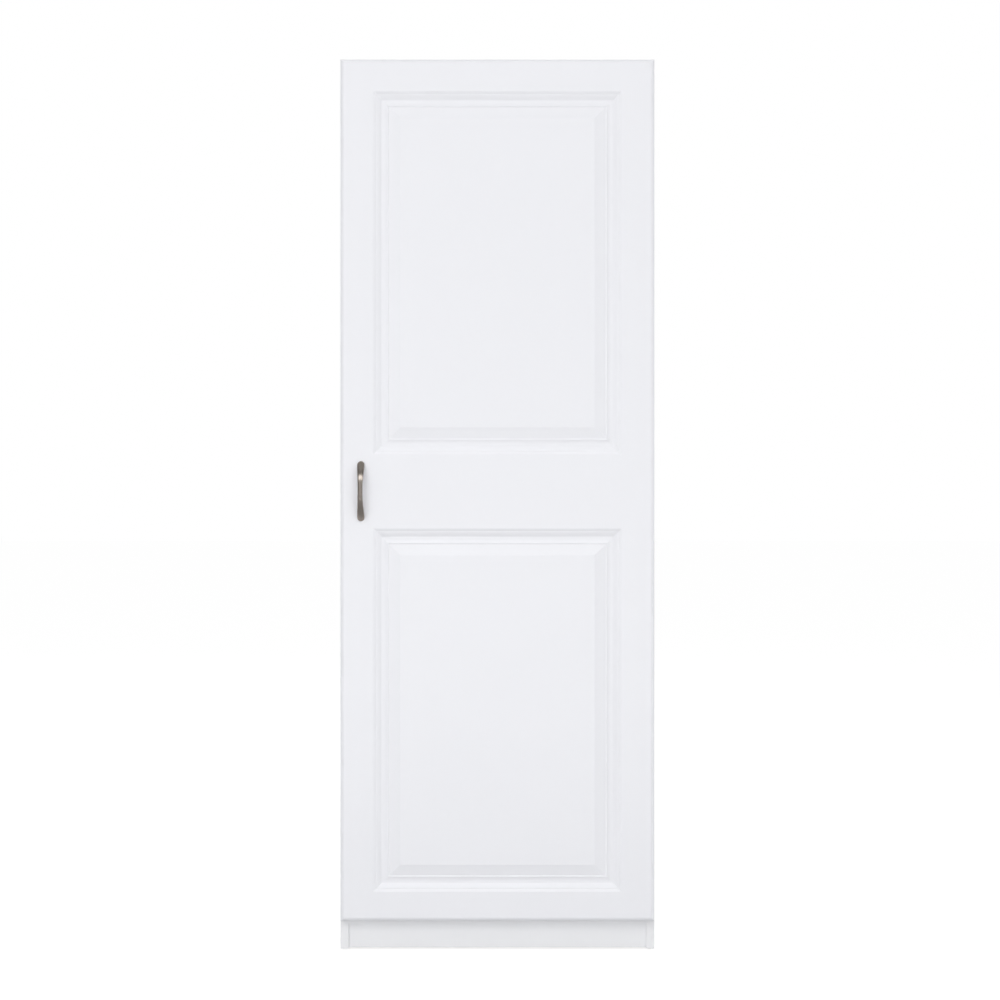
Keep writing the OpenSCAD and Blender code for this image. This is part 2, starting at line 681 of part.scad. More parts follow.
// A leaf that lies on the arm's hook and presses on the pin's cam
module closing_spring(z) translate([pivot_x, pivot_y, z - spring_w / 2]) rotate([0, 0, hook_a])
    linear_extrude(spring_w) polygon([
        [spring_start - hook_l, nose_t / 2], [-spring_bend, nose_t / 2], [-pin_cam_r - spring_gap, 0],
        [-pin_cam_r - spring_gap, spring_t], [-spring_bend, nose_t / 2 + spring_t],
        [spring_start - hook_l, nose_t / 2 + spring_t]]);
module closing_springs() in_frame() color(bright_steel) for (z = hinge_zs) closing_spring(z);

// Places of the mounting plate's screws, with +z of each pointing out of the side panel's inner face
module plate_screw_places(z) for (s = [-1, 1])
    translate([inner_w / 2 - plate_t, plate_y, z + s * plate_spacing / 2]) rotate([0, -90, 0]) children();
module mounting_plate(z) in_frame() color(bright_steel) difference() {
    union() {
        translate([inner_w / 2 - plate_t, plate_y - plate_wing_r, z - plate_spacing / 2])
            cube([plate_t, 2 * plate_wing_r, plate_spacing]);
        plate_screw_places(z) translate([0, 0, -plate_t]) cylinder(r = plate_wing_r, h = plate_t);
        translate([inner_w / 2 - plate_t, bridge_y, z - bridge_w / 2]) cube([plate_t, bridge_l, bridge_w]);
        translate([channel_x, bridge_y, z - bridge_w / 2]) cube([arm_stand - plate_t, bridge_l, bridge_w]);
    }
    plate_screw_places(z) translate([0, 0, -plate_t - cut])
        cylinder(r = plate_screw_r + fit, h = plate_t + 2 * cut);
    translate([channel_x - cut, fixing_y, z]) rod_x(arm_screw_r + fit, arm_screw_in + fit + cut);
}

module hinge_cup_screws() in_frame() color(bright_steel) for (z = hinge_zs, s = [-1, 1])
    translate([cup_x - wing_off, door_back + flange_t + cup_head_t, z + s * wing_spacing / 2])
        rotate([-90, 0, 0]) screw(cup_screw_r, cup_screw_l, cup_head_r, cup_head_t);
module mounting_plate_screws() in_frame() color(bright_steel) for (z = hinge_zs) plate_screw_places(z)
    translate([0, 0, plate_head_t]) screw(plate_screw_r, plate_screw_l, plate_head_r, plate_head_t);
// The arm's two screws: one clamps it to the plate, the other stands on the plate and sets its tilt
module arm_screw(y, z, shank_l) translate([channel_x - channel_t, y, z]) rotate([0, -90, 0])
    translate([0, 0, arm_head_t]) screw(arm_screw_r, shank_l, arm_head_r, arm_head_t);
module arm_fixing_screws() in_frame() color(bright_steel) for (z = hinge_zs)
    arm_screw(fixing_y, z, channel_t + arm_screw_in);
module arm_adjusting_screws() in_frame() color(bright_steel) for (z = hinge_zs)
    arm_screw(adjusting_y, z, channel_t);

side_panel_left();
side_panel_right();
top_panel();
bottom_panel();
fixed_shelf();
toe_kick();
nail_rail();
back_panel_upper();
back_panel_lower();
foot_glides();
cam_housings();
cam_bolts();
cam_covers();
wood_dowels();
back_panel_nails();
shelf_pins();
loose_shelf(lower_shelf_z);  // loose_shelf_lower
loose_shelf(middle_shelf_z);  // loose_shelf_middle
loose_shelf(upper_shelf_z);  // loose_shelf_upper
door_slab();
door_handle();
handle_screws();
door_bumpers();
hinge_cup(hinge_zs[0]);  // hinge_cup_lower
hinge_cup(hinge_zs[1]);  // hinge_cup_middle
hinge_cup(hinge_zs[2]);  // hinge_cup_upper
hinge_pin(hinge_zs[0]);  // hinge_pin_lower
hinge_pin(hinge_zs[1]);  // hinge_pin_middle
hinge_pin(hinge_zs[2]);  // hinge_pin_upper
hinge_arm(hinge_zs[0]);  // hinge_arm_lower
hinge_arm(hinge_zs[1]);  // hinge_arm_middle
hinge_arm(hinge_zs[2]);  // hinge_arm_upper
closing_springs();
mounting_plate(hinge_zs[0]);  // mounting_plate_lower
mounting_plate(hinge_zs[1]);  // mounting_plate_middle
mounting_plate(hinge_zs[2]);  // mounting_plate_upper
hinge_cup_screws();
mounting_plate_screws();
arm_fixing_screws();
arm_adjusting_screws();
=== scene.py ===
# Looks of a tall white utility cabinet: one moulded door, a satin pull, shelves on pins, a nailed back
import math

import bmesh
import bpy
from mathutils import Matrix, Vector


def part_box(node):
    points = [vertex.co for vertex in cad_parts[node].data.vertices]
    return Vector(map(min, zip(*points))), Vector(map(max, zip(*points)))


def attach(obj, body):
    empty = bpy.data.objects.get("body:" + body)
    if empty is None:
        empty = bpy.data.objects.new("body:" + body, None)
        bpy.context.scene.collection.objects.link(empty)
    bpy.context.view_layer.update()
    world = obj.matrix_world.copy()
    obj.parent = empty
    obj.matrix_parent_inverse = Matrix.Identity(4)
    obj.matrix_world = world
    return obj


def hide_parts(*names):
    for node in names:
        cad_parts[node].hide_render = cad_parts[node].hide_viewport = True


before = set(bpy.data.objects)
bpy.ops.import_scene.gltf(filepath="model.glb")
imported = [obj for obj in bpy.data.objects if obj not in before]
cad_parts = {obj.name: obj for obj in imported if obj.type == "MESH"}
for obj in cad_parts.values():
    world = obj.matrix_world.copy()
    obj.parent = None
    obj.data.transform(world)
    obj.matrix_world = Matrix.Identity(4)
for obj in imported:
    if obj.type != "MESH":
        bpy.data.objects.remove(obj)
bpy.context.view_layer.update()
mm = 0.001
hingeLevels = ("lower", "middle", "upper")
print("frame loaded:", len(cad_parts), "nodes")


# Camera: level, in front of the door, a little right of its middle
photoView = {
    "aside": 0.005,
    "height": 0.874,
    "fromDoor": 3.005,
    "seenWidth": 1.930,  # width that the frame covers at the door's plane
    "sensor": 36.0,
    "farEnd": 100,
}

def makeCamera(view):
    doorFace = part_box("door_slab")[0].y
    data = bpy.data.cameras.new("photoCamera")
    data.sensor_width = view["sensor"]
    data.lens = view["sensor"] * view["fromDoor"] / view["seenWidth"]
    data.clip_end = view["farEnd"]
    camera = bpy.data.objects.new("photoCamera", data)
    camera.location = (view["aside"], doorFace - view["fromDoor"], view["height"])
    camera.rotation_euler = (math.radians(90), 0, 0)
    bpy.context.scene.collection.objects.link(camera)
    bpy.context.scene.camera = camera


# Node helpers: an input takes a plain value or another node's output
def addNode(tree, kind, inputs=None, **settings):
    made = tree.nodes.new(kind)
    for key, value in settings.items():
        setattr(made, key, value)
    for key, value in (inputs or {}).items():
        if isinstance(value, bpy.types.NodeSocket):
            tree.links.new(value, made.inputs[key])
        else:
            made.inputs[key].default_value = value
    return made

def mathNode(tree, operation, first, second=0.0):
    return addNode(tree, "ShaderNodeMath", {0: first, 1: second}, operation=operation).outputs[0]

def vectorNode(tree, operation, first, second):
    return addNode(tree, "ShaderNodeVectorMath", {0: first, 1: second}, operation=operation).outputs[0]

def noiseNode(tree, where, scale, detail=2.0, rough=0.5):
    return addNode(tree, "ShaderNodeTexNoise", {
        "Vector": where, "Scale": scale, "Detail": detail, "Roughness": rough}).outputs["Fac"]

def rampNode(tree, value, low, high, toLow, toHigh):
    return addNode(tree, "ShaderNodeMapRange", {
        "Value": value, "From Min": low, "From Max": high, "To Min": toLow, "To Max": toHigh}).outputs[0]

def mixValues(tree, share, first, second):
    # Inputs 2 and 3 and output 0 are the node's plain values
    return addNode(tree, "ShaderNodeMix", {0: share, 2: first, 3: second}).outputs[0]

def mixColours(tree, share, first, second):
    # Inputs 6 and 7 and output 2 are the node's colours
    return addNode(tree, "ShaderNodeMix", {0: share, 6: first, 7: second}, data_type="RGBA").outputs[2]

def bumpNode(tree, height, strength, depth, under=None):
    inputs = {"Height": height, "Strength": strength, "Distance": depth}
    if under is not None:
        inputs["Normal"] = under
    return addNode(tree, "ShaderNodeBump", inputs).outputs["Normal"]

def objectPlace(tree, stretch=(1, 1, 1), turn=(0, 0, 0)):
    place = addNode(tree, "ShaderNodeTexCoord").outputs["Object"]
    return addNode(tree, "ShaderNodeMapping", {
        "Vector": place, "Scale": stretch, "Rotation": turn}).outputs[0]

def startMaterial(name, fixed):
    # fixed: what is the same all over, set on the shader's own inputs
    material = bpy.data.materials.new(name)
    material.use_nodes = True
    shader = material.node_tree.nodes["Principled BSDF"]
    for key, value in fixed.items():
        shader.inputs[key].default_value = value
    return material, material.node_tree, shader

def wire(tree, shader, **values):
    for key, value in values.items():
        tree.links.new(value, shader.inputs[key.replace("_", " ")])


# Finishes. Each gives a material whose pattern is in real sizes, from object coordinates. In a look, colour
# and shade are its two tones, rough the two ends of its roughness, and span the pattern's values that give
# them. A pattern is a scale, a detail and a roughness, a lay the stretch and turn of its coordinates, and a
# bump a strength and a depth in metres
usualSpan = (0.3, 0.7)

def tones(tree, pattern, look):
    return mixColours(tree, pattern, look["colour"], look["shade"])

def gloss(tree, pattern, look):
    return rampNode(tree, pattern, *look.get("span", usualSpan), *look["rough"])

foilLook = {
    "fixed": {"Specular IOR Level": 0.5, "Coat Weight": 0.12, "Coat Roughness": 0.3},
    "colour": (0.845, 0.850, 0.882, 1), "shade": (0.835, 0.841, 0.874, 1), "rough": (0.34, 0.40),
    "slow": (5.5, 3), "peel": (420, 2), "fine": (1900, 1),
    "peelBump": (0.05, 0.0003), "fineBump": (0.05, 0.00006),
}

def foilFinish(look):
    # Vinyl foil drawn over routed fibreboard: smooth, with a faint orange peel and slow gloss changes
    material, tree, shader = startMaterial("doorFoil", look["fixed"])
    place = objectPlace(tree)
    slow, peel, fine = (noiseNode(tree, place, *look[key]) for key in ("slow", "peel", "fine"))
    peeled = bumpNode(tree, peel, *look["peelBump"])
    wire(tree, shader, Base_Color=tones(tree, slow, look), Roughness=gloss(tree, slow, look),
         Normal=bumpNode(tree, fine, *look["fineBump"], peeled))
    return material

melamineLook = {
    "fixed": {"Specular IOR Level": 0.45},
    "colour": (0.845, 0.850, 0.868, 1), "shade": (0.828, 0.834, 0.853, 1), "rough": (0.40, 0.50),
    "cloud": (9, 4, 0.6), "fine": (2600, 1), "pearl": {"Scale": 900.0, "Smoothness": 0.6},
    "pearlBump": (0.10, 0.00018), "fineBump": (0.06, 0.00005),
}

def melamineFinish(look):
    # Printed paper pressed with resin: a pearl texture and very slight clouding
    material, tree, shader = startMaterial("melamineBoard", look["fixed"])
    place = objectPlace(tree)
    cloud, fine = (noiseNode(tree, place, *look[key]) for key in ("cloud", "fine"))
    pearl = addNode(tree, "ShaderNodeTexVoronoi", {"Vector": place, **look["pearl"]},
                    feature="SMOOTH_F1").outputs["Distance"]
    pearled = bumpNode(tree, pearl, *look["pearlBump"])
    wire(tree, shader, Base_Color=tones(tree, cloud, look), Roughness=gloss(tree, cloud, look),
         Normal=bumpNode(tree, fine, *look["fineBump"], pearled))
    return material

bandLook = {
    "fixed": {"Specular IOR Level": 0.5},
    "colour": (0.850, 0.854, 0.870, 1), "shade": (0.835, 0.840, 0.857, 1), "rough": (0.30, 0.38),
    "lineStretch": (1400, 60, 4), "lines": (1.0, 2), "slow": (6, 2), "lineBump": (0.08, 0.00008),
}

def bandFinish(look):
    # Thin plastic edge tape, with the fine lines of its scraper along it
    material, tree, shader = startMaterial("edgeBand", look["fixed"])
    lines = noiseNode(tree, objectPlace(tree, look["lineStretch"]), *look["lines"])
    slow = noiseNode(tree, objectPlace(tree), *look["slow"])
    wire(tree, shader, Base_Color=tones(tree, slow, look), Roughness=gloss(tree, slow, look),
         Normal=bumpNode(tree, lines, *look["lineBump"]))
    return material

chipboardLook = {
    "fixed": {"Roughness": 0.85, "Specular IOR Level": 0.25},
    # The darkest tone is painted shade, for the small holes between the flakes
    "colour": (0.52, 0.37, 0.21, 1), "shade": (0.70, 0.56, 0.37, 1), "holeColour": (0.27, 0.17, 0.09, 1),
    "wobble": {"Scale": 260.0, "Detail": 2.0}, "wobbleReach": 0.004, "flakeScale": 420.0,
    "grit": (1500, 3), "holes": (0.55, 0.72, 0, 0.7),  # grit from, to, and the share of the holes' painted shade there
    "bump": (0.5, 0.0006),
}

def chipboardFinish(look):
    # Cut chipboard: pale and dark flakes, with painted shade in the small holes between them
    material, tree, shader = startMaterial("rawChipboard", look["fixed"])
    place = objectPlace(tree)
    wobble = addNode(tree, "ShaderNodeTexNoise", {"Vector": place, **look["wobble"]}).outputs["Color"]
    centred = vectorNode(tree, "SUBTRACT", wobble, (0.5, 0.5, 0.5))
    shift = addNode(tree, "ShaderNodeVectorMath", {0: centred, "Scale": look["wobbleReach"]},
                    operation="SCALE").outputs[0]
    flakes = addNode(tree, "ShaderNodeTexVoronoi", {
        "Vector": vectorNode(tree, "ADD", place, shift), "Scale": look["flakeScale"]}).outputs
    flakeTone = addNode(tree, "ShaderNodeSeparateColor", {0: flakes["Color"]}).outputs[0]
    grit = noiseNode(tree, place, *look["grit"])
    # Where the grit is high, the painted shade of small holes darkens the flakes' tone
    holes = rampNode(tree, grit, *look["holes"])
    wire(tree, shader,
         Base_Color=mixColours(tree, holes, tones(tree, flakeTone, look), look["holeColour"]),
         Normal=bumpNode(tree, mathNode(tree, "ADD", flakes["Distance"], grit), *look["bump"]))
    return material

hardboardLook = {
    "fixed": {"Specular IOR Level": 0.35},
    "colour": (0.235, 0.128, 0.062, 1), "shade": (0.37, 0.215, 0.112, 1), "rough": (0.55, 0.72),
    "blotchColour": (0.42, 0.265, 0.15, 1), "fibreLay": ((160, 160, 420), (0.3, 0.2, 0.4)),
    "fibres": (1.0, 6, 0.65), "blotch": (14, 4, 0.6),
    "blotches": (0.35, 0.7, 0, 0.45),  # blotch from, to, and its colour's share there
    "screen": {"Scale": 95.0, "Distortion": 0.6, "Detail": 1.0, "Detail Scale": 3.0},
    "fibreBump": (0.15, 0.0003), "screenBump": (0.35, 0.0004),
}

def hardboardFinish(look):
    # Pressed fibres: brown and mottled, with the press screen's print of small squares on its rear
    material, tree, shader = startMaterial("brownHardboard", look["fixed"])
    place = objectPlace(tree)
    fibres = noiseNode(tree, objectPlace(tree, *look["fibreLay"]), *look["fibres"])
    blotches = rampNode(tree, noiseNode(tree, place, *look["blotch"]), *look["blotches"])
    mottled = tones(tree, rampNode(tree, fibres, *usualSpan, 0, 1), look)
    waves = [addNode(tree, "ShaderNodeTexWave", {"Vector": place, **look["screen"]},
                     bands_direction=way).outputs["Fac"] for way in ("X", "Z")]
    fibred = bumpNode(tree, fibres, *look["fibreBump"])
    wire(tree, shader,
         Base_Color=mixColours(tree, blotches, mottled, look["blotchColour"]),
         Roughness=gloss(tree, fibres, look),
         Normal=bumpNode(tree, mathNode(tree, "MULTIPLY", *waves), *look["screenBump"], fibred))
    return material

paperLook = {
    "fixed": {"Specular IOR Level": 0.35},
    "colour": (0.83, 0.834, 0.845, 1), "shade": (0.80, 0.805, 0.818, 1), "rough": (0.5, 0.6),
    "fibreStretch": (300, 300, 700), "fibres": (1.0, 4), "cloud": (11, 3), "fibreBump": (0.12, 0.00015),
}

def paperFinish(look):
    # White paper laid on the hardboard's inner face
    material, tree, shader = startMaterial("whitePaper", look["fixed"])
    fibres = noiseNode(tree, objectPlace(tree, look["fibreStretch"]), *look["fibres"])
    cloud = noiseNode(tree, objectPlace(tree), *look["cloud"])
    wire(tree, shader, Base_Color=tones(tree, cloud, look), Roughness=gloss(tree, cloud, look),
         Normal=bumpNode(tree, fibres, *look["fibreBump"]))
    return material

nickelLook = {
    "fixed": {"Metallic": 1.0, "Anisotropic": 0.35},
    "colour": (0.35, 0.31, 0.275, 1), "shade": (0.41, 0.365, 0.325, 1), "rough": (0.16, 0.27),
    "span": (0.25, 0.75), "strokeStretch": (2600, 2600, 38), "strokes": (1.0, 3, 0.6), "slow": (60, 2),
    "strokeBump": (0.10, 0.00005),
}

def nickelFinish(look):
    # Satin nickel, brushed along the pull, with slow changes in its warm tone
    material, tree, shader = startMaterial("satinNickel", look["fixed"])
    strokes = noiseNode(tree, objectPlace(tree, look["strokeStretch"]), *look["strokes"])
    slow = noiseNode(tree, objectPlace(tree), *look["slow"])
    wire(tree, shader, Base_Color=tones(tree, slow, look), Roughness=gloss(tree, strokes, look),
         Normal=bumpNode(tree, strokes, *look["strokeBump"]),
         Tangent=addNode(tree, "ShaderNodeTangent", direction_type="RADIAL", axis="Z").outputs[0])
    return material

platedLook = {
    "fixed": {"Metallic": 1.0},
    "colour": (0.66, 0.65, 0.63, 1), "shade": (0.58, 0.57, 0.555, 1), "rough": (0.18, 0.32),
    "span": (0.1, 0.4), "rolledLay": ((1800, 240, 40), (0, 0.1, 0.2)), "rolled": (1.0, 3), "slow": (90, 3),
    "rolledBump": (0.06, 0.00005),
}

def platedFinish(look):
    # Nickel-plated pressed steel, with faint rolling lines and small handling marks
    material, tree, shader = startMaterial("platedSteel", look["fixed"])
    rolled = noiseNode(tree, objectPlace(tree, *look["rolledLay"]), *look["rolled"])
    slow = noiseNode(tree, objectPlace(tree), *look["slow"])
    wire(tree, shader, Base_Color=tones(tree, slow, look),
         Roughness=gloss(tree, mathNode(tree, "MULTIPLY", rolled, slow), look),
         Normal=bumpNode(tree, rolled, *look["rolledBump"]))
    return material

zincLook = {
    "fixed": {"Metallic": 0.9},
    "colour": (0.40, 0.40, 0.41, 1), "shade": (0.54, 0.54, 0.55, 1), "rough": (0.42, 0.58),
    "grain": (1300, 4, 0.6), "grainBump": (0.25, 0.0001),
}

def zincFinish(look):
    # Die-cast zinc: grey, softly grained
    material, tree, shader = startMaterial("castZinc", look["fixed"])
    grain = noiseNode(tree, objectPlace(tree), *look["grain"])
    wire(tree, shader, Base_Color=tones(tree, grain, look), Roughness=gloss(tree, grain, look),
         Normal=bumpNode(tree, grain, *look["grainBump"]))
    return material

plasticLook = {
    "fixed": {"Subsurface Weight": 0.05},
    "colour": (0.80, 0.80, 0.79, 1), "shade": (0.76, 0.76, 0.755, 1), "rough": (0.38, 0.5),
    "spark": (1700, 2), "slow": (40, 2), "sparkBump": (0.12, 0.00008),
}

def plasticFinish(look):
    # Moulded white plastic with a light spark texture
    material, tree, shader = startMaterial("whitePlastic", look["fixed"])
    place = objectPlace(tree)
    spark, slow = (noiseNode(tree, place, *look[key]) for key in ("spark", "slow"))
    wire(tree, shader, Base_Color=tones(tree, slow, look), Roughness=gloss(tree, spark, look),
         Normal=bumpNode(tree, spark, *look["sparkBump"]))
    return material

beechLook = {
    "fixed": {"Roughness": 0.6},
    "colour": (0.60, 0.42, 0.24, 1), "shade": (0.72, 0.55, 0.35, 1), "fleckColour": (0.36, 0.22, 0.11, 1),
    "grainStretch": (25, 700, 700), "grain": (1.0, 5), "fleckStretch": (220, 1600, 1600), "fleck": (1.0, 2),
    "flecks": (0.6, 0.7, 0, 0.6),  # fleck from, to, and its colour's share there
    "grainBump": (0.2, 0.0002),
}

def beechFinish(look):
    # Turned beech dowel: straight grain and short dark flecks
    material, tree, shader = startMaterial("beechDowel", look["fixed"])
    grain = noiseNode(tree, objectPlace(tree, look["grainStretch"]), *look["grain"])
    fleck = noiseNode(tree, objectPlace(tree, look["fleckStretch"]), *look["fleck"])
    flecks = rampNode(tree, fleck, *look["flecks"])
    wire(tree, shader,
         Base_Color=mixColours(tree, flecks, tones(tree, grain, look), look["fleckColour"]),
         Normal=bumpNode(tree, grain, *look["grainBump"]))
    return material

bumperLook = {
    "fixed": {"Transmission Weight": 0.85, "IOR": 1.48},
    "colour": (0.86, 0.88, 0.89, 1), "shade": (0.78, 0.81, 0.83, 1), "rough": (0.12, 0.24),
    "haze": (500, 3),
}

def bumperFinish(look):
    # Clear soft plastic with a trace of haze inside
    material, tree, shader = startMaterial("clearBumper", look["fixed"])
    haze = noiseNode(tree, objectPlace(tree), *look["haze"])
    wire(tree, shader, Base_Color=tones(tree, haze, look), Roughness=gloss(tree, haze, look))
    return material

finishes = {
    "foil": foilFinish(foilLook), "melamine": melamineFinish(melamineLook), "band": bandFinish(bandLook),
    "chipboard": chipboardFinish(chipboardLook), "hardboard": hardboardFinish(hardboardLook),
    "paper": paperFinish(paperLook), "nickel": nickelFinish(nickelLook), "plated": platedFinish(platedLook),
    "zinc": zincFinish(zincLook), "plastic": plasticFinish(plasticLook), "beech": beechFinish(beechLook),
    "bumper": bumperFinish(bumperLook),
}
print("finishes made:", len(finishes))


# Mesh helpers
cadMesh = {
    "weld": 0.002 * mm,  # corners of the CAD's loose triangles nearer than this are one
    "flatTurn": 0.5,  # triangles turned less than this many degrees are one face
}

def placed(name, mesh, body, slot, *nodes):
    # A finished piece: it rides on its body and stands for its nodes. Its slot is not used
    piece = bpy.data.objects.new(name, mesh)
    bpy.context.scene.collection.objects.link(piece)
    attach(piece, body)
    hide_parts(*nodes)
    return piece

def looseObject(name, mesh):
    made = bpy.data.objects.new(name, mesh)
    bpy.context.scene.collection.objects.link(made)
    return made

def plainMesh(bm, name):
    mesh = bpy.data.meshes.new(name)
    bm.to_mesh(mesh)
    bm.free()
    return mesh

def smoothMesh(bm, name, sharpAngle):
    mesh = plainMesh(bm, name)
    mesh.shade_smooth()
    mesh.set_sharp_from_angle(angle=math.radians(sharpAngle))
    return mesh

def settled(worker):
    # The evaluated result as a plain mesh; the worker object goes
    graph = bpy.context.evaluated_depsgraph_get()
    mesh = bpy.data.meshes.new_from_object(worker.evaluated_get(graph), depsgraph=graph)
    bpy.data.objects.remove(worker)
    return mesh

def weldedCopy(node):
    bm = bmesh.new()
    bm.from_mesh(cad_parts[node].data)
    bmesh.ops.remove_doubles(bm, verts=bm.verts, dist=cadMesh["weld"])
    return bm

def cadCopy(node):
    bm = weldedCopy(node)
    bmesh.ops.dissolve_limit(bm, angle_limit=math.radians(cadMesh["flatTurn"]), verts=bm.verts,
                             edges=bm.edges)
    return bm

def looseBoxes(node):
    # Lowest and highest corner of each separate solid in a node, always in the same order
    bm = weldedCopy(node)
    bm.verts.ensure_lookup_table()
    left, boxes = set(range(len(bm.verts))), []
    while left:
        reached = {left.pop()}
        edge = list(reached)
        while edge:
            near = {e.other_vert(bm.verts[i]).index for i in edge for e in bm.verts[i].link_edges}
            edge = list(near & left)
            reached |= near
            left -= near
        places = [bm.verts[i].co for i in reached]
        boxes.append((Vector(map(min, *places)), Vector(map(max, *places))))
    bm.free()
    return sorted(boxes, key=lambda b: tuple(round(v, 4) for v in (*b[0], *b[1])))

def steadyOrder(bm):
    # A plane cut leaves corners, edges and faces in an order that changes from run to run: give them one
    for i, vertex in enumerate(sorted(bm.verts, key=lambda v: v.co[:])):
        vertex.index = i
    bm.verts.sort()
    for parts in (bm.edges, bm.faces):
        for i, part in enumerate(sorted(parts, key=lambda p: sorted(v.index for v in p.verts))):
            part.index = i
        parts.sort()

def closeRings(bm, rings):
    # Walls between neighbouring rings and a cap at each end
    for first, second in zip(rings, rings[1:]):
        for i in range(len(first)):
            j = (i + 1) % len(first)
            bm.faces.new((first[i], first[j], second[j], second[i]))
    bm.faces.new(rings[0])
    bm.faces.new(rings[-1])

def arcPoints(middle, radii, start, end, steps):
    return [(middle[0] + radii[0] * math.cos(a), middle[1] + radii[1] * math.sin(a))
            for a in (math.radians(start + (end - start) * i / steps) for i in range(steps + 1))]


# Boards: a copy of each CAD board with its long edges eased and its skins told apart
boardShape = {
    "ease": 0.35 * mm, "easeSteps": 2, "easeProfile": 0.5,
    "longEdge": 12 * mm, "sharpEdge": 60,  # an edge this long and this sharp is eased
    "bandThickness": 0.45 * mm,
    "reach": 0.3 * mm, "squareOn": 0.95,  # a face this near to a side and this square to it is its skin
    "smoothTurn": 20,
}
boxSides = {"-x": (0, -1), "+x": (0, 1), "-y": (1, -1), "+y": (1, 1), "-z": (2, -1), "+z": (2, 1)}
boardFace, boardBand, boardRaw = 0, 1, 2  # a board's material slots

def sidePlane(low, high, side):
    # Axis, sign and place of one side of a box
    axis, sign = boxSides[side]
    return axis, sign, (high if sign > 0 else low)[axis]

def longSharpEdges(bm, shape):
    return [e for e in bm.edges if e.calc_length() > shape["longEdge"]
            and len(e.link_faces) == 2 and e.calc_face_angle(0) > math.radians(shape["sharpEdge"])]

def onSide(face, shape, low, high, side):
    axis, sign, limit = sidePlane(low, high, side)
    return (face.normal[axis] * sign > shape["squareOn"]
            and abs(face.calc_center_median()[axis] - limit) < shape["reach"])

def dressBoard(shape, name, node, body, slot, raw, banded, skins=("melamine", "band", "chipboard")):
    low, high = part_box(node)
    bm = cadCopy(node)
    bmesh.ops.bevel(bm, geom=longSharpEdges(bm, shape), offset=shape["ease"], segments=shape["easeSteps"],
                    profile=shape["easeProfile"], affect="EDGES", clamp_overlap=True)
    for side in banded:
        axis, sign, limit = sidePlane(low, high, side)
        cut, across = Vector((0, 0, 0)), Vector((0, 0, 0))
        cut[axis] = limit - sign * shape["bandThickness"]
        across[axis] = 1
        bmesh.ops.bisect_plane(bm, geom=bm.verts[:] + bm.edges[:] + bm.faces[:], plane_co=cut,
                               plane_no=across)
    steadyOrder(bm)
    for face in bm.faces:
        middle = face.calc_center_median()
        inBand = any(abs(middle[axis] - limit) < shape["bandThickness"]
                     for axis, _, limit in (sidePlane(low, high, side) for side in banded))
        if any(onSide(face, shape, low, high, side) for side in raw):
            face.material_index = boardRaw
        elif inBand:
            face.material_index = boardBand
        elif any(onSide(face, shape, low, high, side) for side in boxSides):
            face.material_index = boardFace
        else:  # an eased edge has the face's skin, and a hole's wall is raw
            eased = any(abs(middle[i] - end[i]) < shape["reach"] for i in range(3) for end in (low, high))
            face.material_index = boardFace if eased else boardRaw
    mesh = smoothMesh(bm, name, shape["smoothTurn"])
    for skin in skins:
        mesh.materials.append(finishes[skin])
    return placed(name, mesh, body, slot, node)

boards = [  # name, node, body, raw sides, taped sides
    ("sideBoardLeft", "side_panel_left", "carcass", ("+y", "-z"), ("-y", "+z")),
    ("sideBoardRight", "side_panel_right", "carcass", ("+y", "-z"), ("-y", "+z")),
    ("topBoard", "top_panel", "carcass", ("+y", "-x", "+x"), ("-y",)),
    ("bottomBoard", "bottom_panel", "carcass", ("+y", "-x", "+x"), ("-y",)),
    ("fixedBoard", "fixed_shelf", "carcass", ("+y", "-x", "+x"), ("-y",)),
    ("plinthBoard", "toe_kick", "carcass", ("-z", "+z", "-x", "+x"), ()),
    ("nailRail", "nail_rail", "carcass", ("+z", "-x", "+x"), ("-z",)),
    ("lowerShelf", "loose_shelf_lower", "lower_shelf", ("+y", "-x", "+x"), ("-y",)),
    ("middleShelf", "loose_shelf_middle", "middle_shelf", ("+y", "-x", "+x"), ("-y",)),
    ("upperShelf", "loose_shelf_upper", "upper_shelf", ("+y", "-x", "+x"), ("-y",)),
]
backs = {"upperBack": "back_panel_upper", "lowerBack": "back_panel_lower"}
for name, node, body, raw, banded in boards:
    dressBoard(boardShape, name, node, body, "white_board", raw, banded)
for name, node in backs.items():
    dressBoard(boardShape, name, node, "carcass", "hardboard", ("-x", "+x", "+y", "-z", "+z"), (),
               ("paper", "paper", "hardboard"))
print("boards dressed:", len(boards) + len(backs))


# Door, in millimetres: profiles as points of inset from an outline and depth below the door's face
doorShape = {
    "stile": 63.5, "topRail": 62, "middleRail": 143, "bottomRail": 57,
    # Stops of the door's edge and of the moulding: inset, depth, and how far the stretch up to it bows
    "edge": [(0, 5.2, 0), (1, 3.6, -0.25), (5.6, 0.7, -0.3), (6.6, 0.5, 0), (7, 0, 0)],
    "moulding": [(0, 0, 0), (0.5, 0.15, 0), (5.4, 2.5, -0.15), (7, 2.6, 0), (15.4, 6.6, -0.3),
                 (19, 6.9, 0.12), (28.4, 4.4, 0.65), (30.4, 5.3, -0.1), (32, 5.2, 0.1), (51, 0.3, 0.15),
                 (52.5, 0, -0.08)],
    "bowSteps": 12, "weld": 0.01, "smoothTurn": 8,
    "cupRadius": 17.5, "cupTab": 3, "boltRadius": 2.3,  # bores; the tab is what is left beside a cup
    "cupSides": 64, "boltSides": 32, "cutBeyond": 1, "cutWeld": 0.005,
    # Where the foil ends: this near to the back, and in the bores deeper than this and away from the edges
    "backReach": 0.01, "boreFrom": 8, "boreInset": 0.1,
}
doorFoil, doorBack, doorRaw = 0, 1, 2  # the door's material slots

